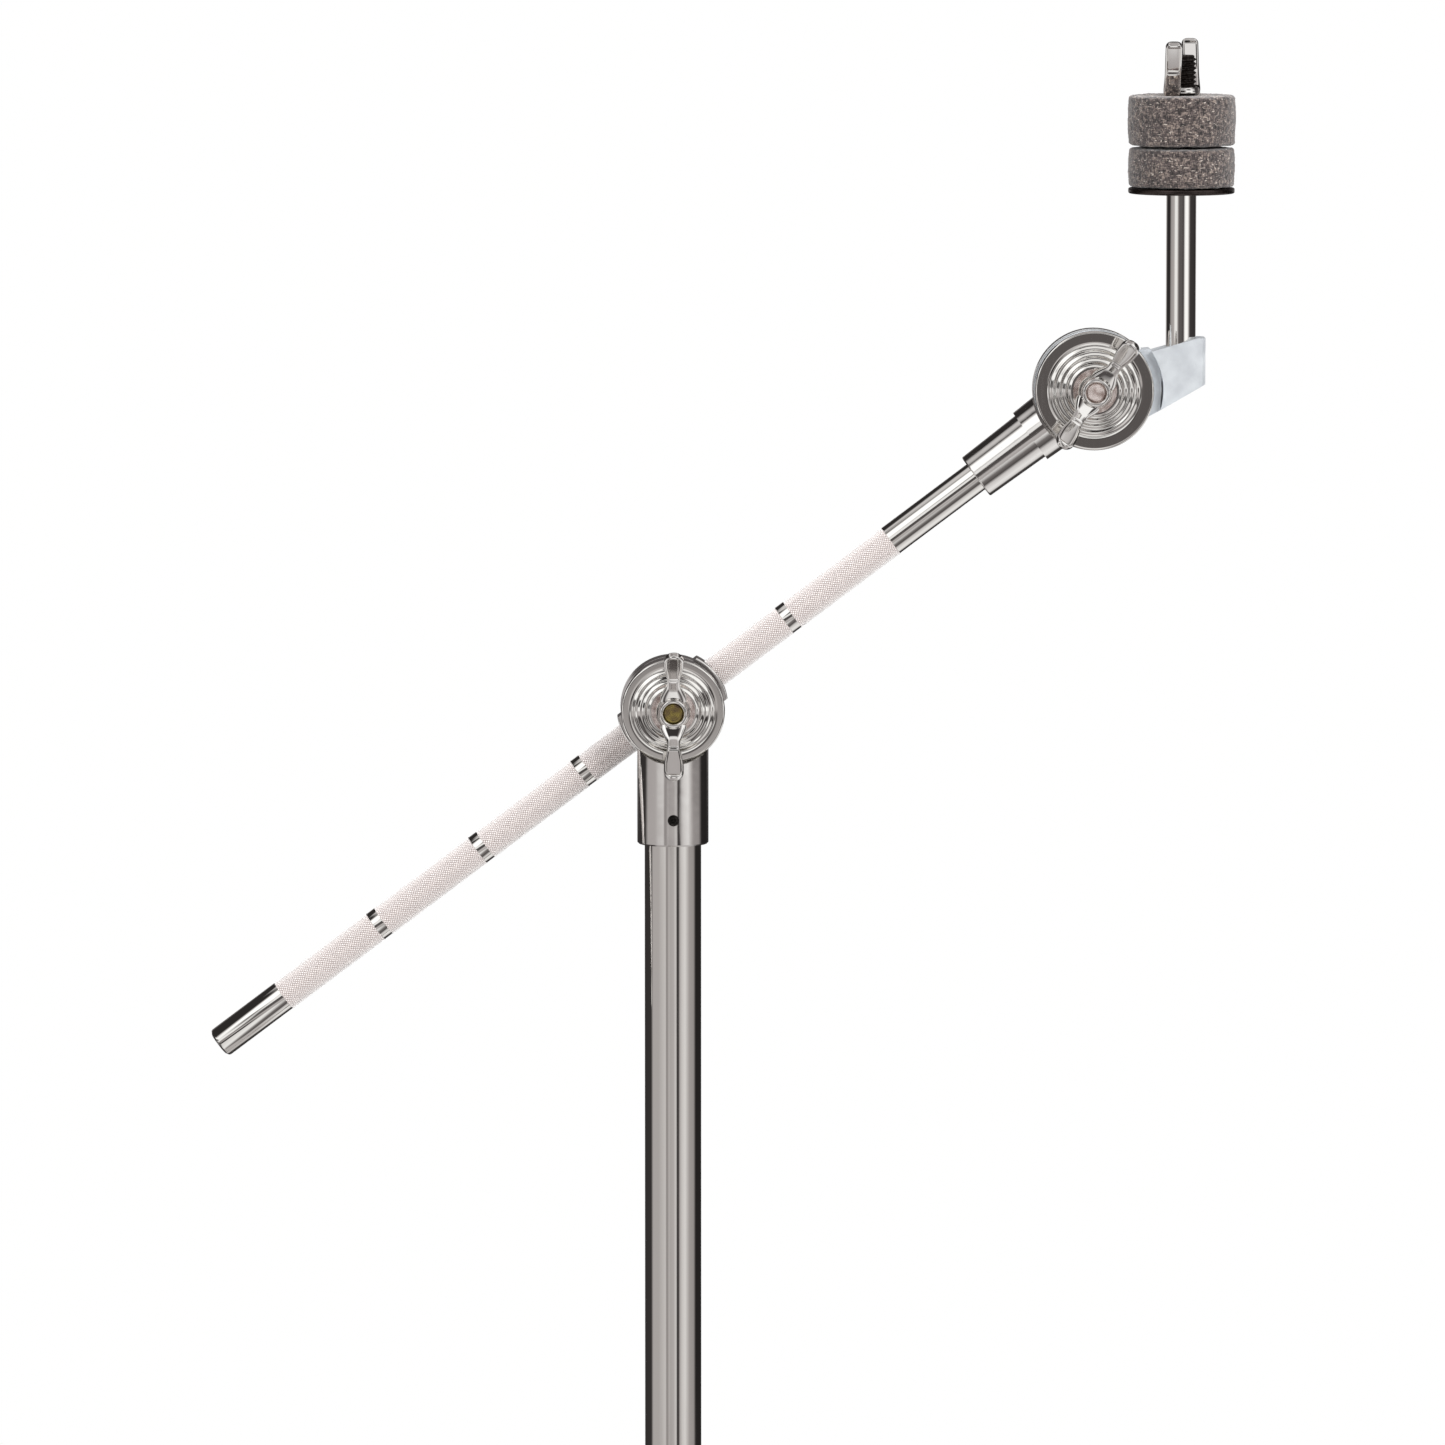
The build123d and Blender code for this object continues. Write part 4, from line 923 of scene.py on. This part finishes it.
@dataclass
class WingHead:
    """A cast wing nut, or the head of a wing bolt: a hub and two raised, dished paddles."""

    node: str
    body: Body
    out: tuple
    turn: float
    across: tuple = (1, 0, 0)
    hub_height: float = 8.6 * MM
    hub_radius: float = 7.1 * MM
    face_radius: float = 5.6 * MM
    bore: float = 4.1 * MM
    reach: float = 24.5 * MM
    paddle: float = 3.9 * MM
    neck: float = 2.55 * MM
    flare: float = 5.2 * MM
    corner: float = 3.9 * MM
    offset: float = 0.0
    root_thick: float = 2.6 * MM
    tip_thick: float = 1.6 * MM
    boxiness: float = 0.55
    dish_depth: float = 0.52
    lip: float = 0.8 * MM
    head_height: float = 21.6 * MM
    shank: bool = False
    columns: int = 64
    rows: int = 72

    def build(self, finish: Material) -> Object:
        """Builds the hub and both wings, and a bolt's shank.

        Args:
            finish: the casting's material.

        Returns:
            The wing nut or wing bolt.
        """
        low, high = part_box(self.node)
        way = np.array(self.out, float)
        reached = np.array([low, high], float) @ way
        tip, back = reached.max(), reached.min()
        middle = np.array((low + high) / 2, float)
        seat = tip - self.head_height if self.shank else back
        origin = middle + way * (seat - middle @ way)
        base = spot(Vector(origin), self.out, self.across)
        turn = radians(self.turn)
        side = base.across * cos(turn) + base.beside * sin(turn)
        where = spot(Vector(origin), self.out, tuple(side))
        points, faces = self.hub(where)
        blocks, count = [points], len(points)
        for sign in (1, -1):
            wing, quads = self.wing(where, sign, tip - seat)
            blocks.append(wing)
            faces += (quads + count).tolist()
            count += len(wing)
        if self.shank:
            rod, quads = self.shank_points(where, back - seat)
            blocks.append(rod)
            faces += [[v + count for v in f] for f in quads]
        piece = new_piece(self.node + "_cast", np.concatenate(blocks), faces, 50.0)
        return fit_out(piece, self.body, finish, "cast_chrome", self.node)

    def hub(self, where: Spot) -> tuple:
        """Turns the hub: a waisted cone with a rounded face and a dished bore.

        Args:
            where: the seat and axis.

        Returns:
            Points and faces.
        """
        h, r, f = self.hub_height, self.hub_radius, self.face_radius
        inner = self.bore if not self.shank else 0.4 * MM
        t = np.linspace(0, 1, 24)
        flank = np.stack([r + (f - r) * smooth_step(0, 1, t), 0.6 * MM + (h - 1.5 * MM) * t], 1)
        arc = np.linspace(0, pi, 13)[1:]
        lip = self.lip
        crown = np.stack([f - lip + lip * np.cos(arc), h - 0.9 * MM + lip * np.sin(arc)], axis=1)
        bore = [[inner, h - 1.4 * MM], [inner, 0]]
        if self.shank:
            bore = [[f - 2.2 * lip, h - 1.6 * MM], [inner, h - 1.7 * MM], [inner, 0]]
        profile = np.concatenate([flank, crown, bore, [[r - 0.6 * MM, 0]]])
        points = lathe_points(where, profile, self.columns).reshape(-1, 3)
        return points, grid_faces(len(profile), self.columns, close_rows=True).tolist()

    def wing(self, where: Spot, sign: int, top: float) -> tuple:
        """Sweeps one wing outwards and upwards from the hub.

        Its middle line leaves the hub low and bends up to the tip. The section is a rounded
        box, the boxiness power of a circle's cosine and sine: its half width falls from the
        hub's flare to a neck, swells into the paddle and closes round the corners; both faces
        are dished inside a raised rim.

        Args:
            where: the seat and axis.
            sign: 1 or -1, for the two sides.
            top: the height of the wing's tip over the seat.

        Returns:
            Points and quads.
        """
        root = self.bore + 1.2 * MM
        turn = np.linspace(0, pi / 2, self.rows)
        u = np.sin(turn) * 0.5 + turn / pi
        low = min(self.hub_height * 0.5, 4.2 * MM)
        line_x = root + (self.reach - root) * (u**0.94)
        line_z = low + (top - self.tip_thick - low) * (u**1.12)
        slope = np.stack([np.gradient(line_x), np.gradient(line_z)], axis=1)
        length = np.concatenate([[0], np.cumsum(np.hypot(np.diff(line_x), np.diff(line_z)))])
        end = length[-1]
        slope /= np.linalg.norm(slope, axis=1, keepdims=True)
        width = self.flare + (self.neck - self.flare) * smooth_step(0, 8 * MM, length)
        width += (self.paddle - self.neck) * smooth_step(end * 0.40, end * 0.74, length)
        beyond = np.clip((length - end + self.corner) / self.corner, 0, 1)
        width -= self.corner * (1 - np.sqrt(np.maximum(1 - beyond**2, 0)))
        thinner = self.tip_thick - self.root_thick
        thick = self.root_thick + thinner * smooth_step(0, 7 * MM, length)
        thick *= (1 - beyond**8) ** (1 / 4)
        c, s = np.cos(circle(self.columns)), np.sin(circle(self.columns))
        side = np.sign(c) * np.abs(c) ** self.boxiness * width[:, None]
        lift = np.sign(s) * np.abs(s) ** self.boxiness * thick[:, None]
        inside = smooth_step(0.80, 0.64, np.abs(side) / np.maximum(width[:, None], 1e-6))
        dish = smooth_step(end * 0.40, end * 0.46, length)
        dish *= smooth_step(end - 1.2 * MM, end - 2.1 * MM, length)
        lift = lift * (1 - self.dish_depth * inside * dish[:, None])
        x = line_x[:, None] - slope[:, 1:] * lift
        z = line_z[:, None] + slope[:, :1] * lift
        points = where.place(sign * x, side - sign * self.offset, z).reshape(-1, 3)
        return points, grid_faces(self.rows, self.columns)

    def shank_points(self, where: Spot, end: float) -> tuple:
        """Builds a bolt's shank, with its thread as a helical groove.

        Args:
            where: the seat and axis.
            end: where it ends along the axis, below zero.

        Returns:
            Points and faces.
        """
        pitch, radius, groove, bevel, columns = 1.25 * MM, 3.95 * MM, 0.6 * MM, 0.8 * MM, 40
        along = np.append(np.arange(0, -end, pitch / 8), -end)[:, None]
        angle = circle(columns)
        phase = (along / pitch + angle / (2 * pi)) % 1
        wave = 1 - np.abs(2 * phase - 1)
        fade = smooth_step(0, pitch, along)
        tip = np.clip((-end - along) / (0.9 * MM), 0, 1)
        r = radius - groove * wave * fade - bevel * (1 - tip)
        points = where.turned(r, angle, -along)
        # The rows go down the axis here, so the caps are turned round.
        caps = [cap[::-1] for cap in end_caps(len(along), columns)]
        return points.reshape(-1, 3), grid_faces(len(along), columns).tolist() + caps


# ---------------------------------------------------------------- finishes of the stand
@dataclass
class Finishes:
    """All the stand's materials, made once, and which CAD node wears which."""

    made: dict = field(default_factory=dict)

    def wear(self, finish: Finish) -> Material:
        """Gives the material of a finish, building it the first time."""
        if finish.name not in self.made:
            self.made[finish.name] = finish.material()
        return self.made[finish.name]

    def slots(self) -> dict:
        """The finish for each material slot of the record."""
        bolt = tuple(node_centre("cymbal_tilter_bolt"))
        eye = tuple(node_centre("tilter_eye_bolt"))
        return {
            "chrome": PolishedChrome("polished_chrome_tube", "#eceae6", 1.0, 0.035),
            "cast_chrome": CastChrome("chromed_die_casting", "#e9e7e4", 1.0, 0.06),
            # A near-white base at a quarter metallic: part of the knurl's shine is a painted
            # highlight in its colour.
            "knurled_chrome": KnurledChrome("chromed_diamond_knurl", "#fbf9f8", 0.25, 0.22),
            "satin_zinc": SatinZinc("tumbled_zinc_block", "#dfe4e8", 0.55, 0.42),
            "steel": TurnedMetal(
                "turned_steel", "#efe3de", 0.75, 0.24, bolt, "Y", 0.0006, "#ad9a93"
            ),
            "yellow_zinc": TurnedMetal(
                "yellow_zinc_plate", "#b4a35c", 0.9, 0.24, eye, "Y", 0.0008, "#7d6a52"
            ),
            "black_oxide": BlackOxide("black_oxide_steel", "#1b1a19", 0.9, 0.32),
            "dark_chrome": DarkPlate("black_nickel_washer", "#4a4240", 1.0, 0.2),
            "nylon": MouldedNylon("moulded_black_nylon", "#18181a", 0.0, 0.42),
            "fibre": PressedFibre("vulcanised_fibre", "#6b4f36", 0.0, 0.75),
            "rubber": MouldedRubber("moulded_black_rubber", "#151516", 0.0, 0.62),
            "felt": WoolFelt("heathered_wool_felt", "#4b4140", 0.0, 0.95),
        }

    def dress_frame(self) -> None:
        """Puts a finish in every slot of every CAD node, by the record's slot name."""
        chosen = self.slots()
        for name, node in sorted(frame["nodes"].items()):
            for place in node.material_slots:
                slot = place.material.name.split(".")[0]
                place.material = self.wear(chosen[slot])
            log.info("%s wears %s", name, node.material_slots[0].material.name)


# ---------------------------------------------------------------- light, floor and camera
@dataclass
class Studio:
    """A bright studio: white backdrop, dark flags and strip lights, a pale floor, one camera."""

    eye: tuple = (-0.058, -3.9773, 1.4131)
    aim: tuple = (0.0195, 0.0, 0.995)
    lens: float = 253.7
    floor_radius: float = 1.5
    floor_level: float = -0.4 * MM
    lit: tuple = (0.05, 0.0, 0.9)
    eye_level: float = 0.2
    narrow_blend: float = 0.04
    wide_blend: float = 0.06

    @staticmethod
    def hang(name: str, data: object, place: tuple, aim: tuple) -> Object:
        """Puts a camera or a lamp at a place, turned to look at another."""
        made = bpy.data.objects.new(name, data)
        made.location = place
        way = Vector(aim) - Vector(place)
        made.rotation_euler = way.to_track_quat("-Z", "Y").to_euler()
        bpy.context.scene.collection.objects.link(made)
        return made

    def camera(self) -> None:
        """Makes the camera at its place, aimed a little right of the tube."""
        data = bpy.data.cameras.new("camera")
        data.lens, data.sensor_width = self.lens, 36.0
        data.clip_start, data.clip_end = 0.05, 50.0
        bpy.context.scene.camera = self.hang("camera", data, self.eye, self.aim)
        bpy.context.scene.view_settings.view_transform = "Standard"

    def floor(self) -> None:
        """Makes a round pale floor that fades out at its rim; reflections see the surroundings."""
        rings, columns = 40, 96
        ring = np.linspace(0.0001, 1, rings) * self.floor_radius
        where = spot(Vector((0, 0, self.floor_level)), (0, 0, 1), (1, 0, 0))
        points = where.turned(ring[:, None], circle(columns), np.zeros((rings, 1)))
        faces = grid_faces(rings, columns)[:, ::-1].tolist()
        piece = new_piece("studio_floor", points, faces, 180.0, False)
        made, paper = new_material("pale_studio_paper", "#f4f3f1", 0.9)
        tree = paper.tree
        reach = add_node(tree, "VectorMath", {0: paper.place}, operation="LENGTH").outputs["Value"]
        near, far = self.floor_radius * 0.45, self.floor_radius * 0.98
        fade = map_range(tree, reach, near, far, interpolation_type="SMOOTHSTEP")
        clear = add_node(tree, "BsdfTransparent", {}).outputs[0]
        inputs = {0: fade, 1: paper.shader.outputs[0], 2: clear}
        mixed = add_node(tree, "MixShader", inputs).outputs[0]
        tree.links.new(mixed, tree.nodes["Material Output"].inputs["Surface"])
        piece.data.materials.append(made)
        piece.visible_glossy = False

    def lamp(self, name: str, place: tuple, size: float, power: float) -> None:
        """Hangs a soft square light aimed at the tilters, unseen in reflections."""
        data = bpy.data.lights.new(name, "AREA")
        data.size, data.energy = size, power
        made = self.hang(name, data, place, self.lit)
        made.visible_glossy = False
        made.visible_camera = False

    def surroundings(self) -> None:
        """Paints what the chrome reflects, as bands by compass direction and height.

        Directions are turned into an azimuth, from 0 behind to 0.5 at the front and 1 behind
        again, and a height, the direction's own z. Each row of flags and strip lights takes
        over from the one below it at its own height, over a narrower blend near eye level. The
        camera sees plain white.
        """
        world = bpy.data.worlds.new("studio")
        bpy.context.scene.world = world
        world.use_nodes = True
        tree = world.node_tree
        way = add_node(tree, "TexCoord", {}).outputs["Generated"]
        split = add_node(tree, "SeparateXYZ", {0: way}).outputs
        front = add_node(tree, "Math", {0: split[1], 1: -1.0}, operation="MULTIPLY").outputs[0]
        turn = add_node(tree, "Math", {0: split[0], 1: front}, operation="ARCTAN2").outputs[0]
        azimuth = map_range(tree, turn, -pi, pi)
        mixed = self.band(tree, azimuth, ROWS[0][1])
        for start, stops in ROWS[1:]:
            colour = self.band(tree, azimuth, stops)
            end = start + (self.narrow_blend if abs(start) < self.eye_level else self.wide_blend)
            share = map_range(tree, split[2], start, end, interpolation_type="SMOOTHSTEP")
            mixed = mix_colours(tree, share, mixed, colour)
        seen = add_node(tree, "LightPath", {}).outputs["Is Camera Ray"]
        final = mix_colours(tree, seen, mixed, (1.0, 1.0, 0.998, 1.0))
        tree.links.new(final, tree.nodes["Background"].inputs["Color"])

    @staticmethod
    def band(tree: NodeTree, azimuth: NodeSocket, stops: list) -> NodeSocket:
        """Makes one row of flags and lights.

        Args:
            tree: the world's nodes.
            azimuth: the direction, from 0 to 1.
            stops: pairs of degrees, with 0 at the front and 90 to the right, and brightness.

        Returns:
            The row's colour.
        """
        places = []
        for degrees, value in stops:
            share = min(value, 1.0)
            colour = (value, value * (0.90 + 0.10 * share), value * (0.89 + 0.11 * share), 1.0)
            places.append(((degrees + 180) / 360, colour))
        return add_node(tree, "ValToRGB", {"Fac": azimuth}, stops=places).outputs[0]

    def build(self) -> None:
        """Sets up the camera, floor, lights and surroundings."""
        self.camera()
        self.floor()
        self.lamp("key_light", (1.9, -2.2, 2.4), size=1.4, power=105.0)
        self.lamp("fill_light", (-1.8, -2.0, 1.8), size=1.8, power=45.0)
        self.lamp("top_light", (0.0, 0.6, 3.2), size=2.2, power=75.0)
        self.surroundings()


# Brightness by compass direction: dark flags make the black lines, strip lights the white ones.
LOW_BAND = [
    (-180, 0.03), (-102, 0.04), (-90, 0.46), (-63, 0.46), (-35, 0.62), (-31, 0.60), (-28, 0.30),
    (-22, 0.36), (-18, 0.52), (-12, 0.46), (2, 0.50), (7, 0.64), (12, 0.64), (15, 0.05),
    (22, 0.05), (27, 0.46), (36, 0.66), (50, 0.78), (60, 0.58), (70, 0.40), (92, 0.35),
    (101, 0.10), (106, 0.02), (180, 0.02),
]
LEVEL_BAND = [
    (-180, 0.45), (-150, 0.45), (-140, 0.03), (-98, 0.03), (-86, 0.36), (-58, 0.48), (-50, 0.95),
    (-34, 0.95), (-27, 0.40), (-18, 0.12), (0, 0.12), (14, 0.07), (19, 0.20), (25, 0.85),
    (32, 1.15), (48, 1.15), (56, 0.70), (64, 0.20), (72, 0.05), (116, 0.04), (140, 0.02),
    (150, 0.45), (180, 0.45),
]
MIDDLE_BAND = [
    (-180, 0.10), (-110, 0.04), (-92, 0.50), (-70, 0.70), (-56, 0.05), (-44, 0.05), (-36, 1.00),
    (-24, 0.95), (-16, 0.10), (4, 0.06), (14, 0.50), (22, 0.75), (30, 0.08), (46, 0.05), (58, 0.95),
    (76, 0.60), (90, 0.05), (120, 0.05), (140, 0.30), (180, 0.10),
]
FLOOR_BAND = [
    (-180, 0.05), (-135, 0.05), (-118, 0.85), (-70, 0.85), (-46, 0.10), (-30, 0.08), (-14, 0.80),
    (8, 0.95), (22, 0.20), (38, 0.08), (54, 0.70), (100, 0.95), (128, 0.80), (142, 0.05),
    (180, 0.05),
]
UPPER_BAND = [
    (-180, 0.03), (-64, 0.03), (-60, 0.25), (-48, 1.30), (-24, 1.30), (-18, 0.04), (10, 0.04),
    (20, 0.30), (30, 1.10), (70, 1.10), (80, 0.20), (90, 0.04), (180, 0.03),
]
TOP_BAND = [(-180, 0.70), (-60, 0.70), (-40, 0.90), (40, 0.90), (60, 0.70), (180, 0.70)]
SHADE_BAND = [
    (-180, 0.03), (-110, 0.05), (-90, 0.60), (-66, 0.60), (-50, 0.06), (-8, 0.04), (0, 0.50),
    (12, 0.45), (20, 0.04), (60, 0.05), (78, 0.65), (100, 0.60), (116, 0.05), (180, 0.03),
]
GLOW_BAND = [
    (-180, 0.20), (-100, 0.05), (-76, 0.20), (-60, 1.10), (-40, 1.10), (-30, 0.15), (-20, 0.95),
    (24, 0.95), (34, 0.08), (50, 0.08), (62, 1.00), (84, 0.90), (96, 0.05), (180, 0.20),
]
NADIR_BAND = [(-180, 0.50), (-90, 0.35), (0, 0.45), (90, 0.55), (180, 0.50)]
ZENITH_BAND = [(-180, 0.40), (-90, 0.30), (0, 0.48), (90, 0.42), (180, 0.40)]
# Each row starts at a height and ends where the next one starts.
ROWS = (
    (-1.0, NADIR_BAND),
    (-0.90, FLOOR_BAND),
    (-0.36, SHADE_BAND),
    (-0.23, LOW_BAND),
    (-0.12, LEVEL_BAND),
    (-0.03, MIDDLE_BAND),
    (0.13, GLOW_BAND),
    (0.30, UPPER_BAND),
    (0.72, TOP_BAND),
    (0.86, ZENITH_BAND),
)


def main() -> None:
    """Dresses the frame, builds every modelled piece, then the studio."""
    logging.basicConfig(level=logging.INFO, format="%(message)s")
    finishes = Finishes()
    finishes.dress_frame()
    wear = {slot: finishes.wear(finish) for slot, finish in finishes.slots().items()}
    BoomArm().build(wear["knurled_chrome"], wear["chrome"])
    # The thread is chrome like the rod; its near-black colour, made with the black oxide finish, is
    # painted shade and dark reflection in its flanks.
    thread = BlackOxide("thread_painted_shade", "#241d1a", 0.85, 0.30)
    CymbalRod().build(wear["chrome"], finishes.wear(thread))
    FeltWasher("lower_felt", Body.ROD_HEAD, 11).build(wear["felt"])
    FeltWasher("upper_felt", Body.TOP_FELT, 23).build(wear["felt"])
    RippleCover("tilter_cover", Body.TOP_STAGE, (15.5, 13.4, 11.8, 9.4)).build(wear["chrome"])
    RippleCover("cymbal_tilter_cover", Body.ROD_HEAD, (17.1, 14.5, 12.2, 9.8)).build(wear["chrome"])
    front = (0, -1, 0)
    heads = [
        WingHead("tilter_wing_nut", Body.BOOM_NUT, front, 90),
        WingHead("cymbal_tilter_wing_nut", Body.CYMBAL_NUT, front, 55),
        WingHead(
            "cymbal_wing_nut", Body.SEAT_NUT, (0, 0, 1), 90,
            hub_height=3.0 * MM, hub_radius=7.2 * MM, face_radius=6.9 * MM, bore=5.8 * MM,
            reach=19.6 * MM, paddle=3.3 * MM, neck=3.2 * MM, flare=3.4 * MM, corner=2.0 * MM,
            offset=4.3 * MM,
        ),
        WingHead("base_clamp_wing_bolt", Body.BASE_BOLT, front, 0, shank=True),
        WingHead("mid_clamp_wing_bolt", Body.MID_BOLT, front, 0, shank=True),
        WingHead(
            "leg_collar_wing_bolt", Body.LEG_BOLT, (-1, 0, 0), 0, across=(0, 0, 1), shank=True
        ),
    ]
    for head in heads:
        head.build(wear["cast_chrome"])
    Studio().build()


if __name__ == "__main__":
    main()
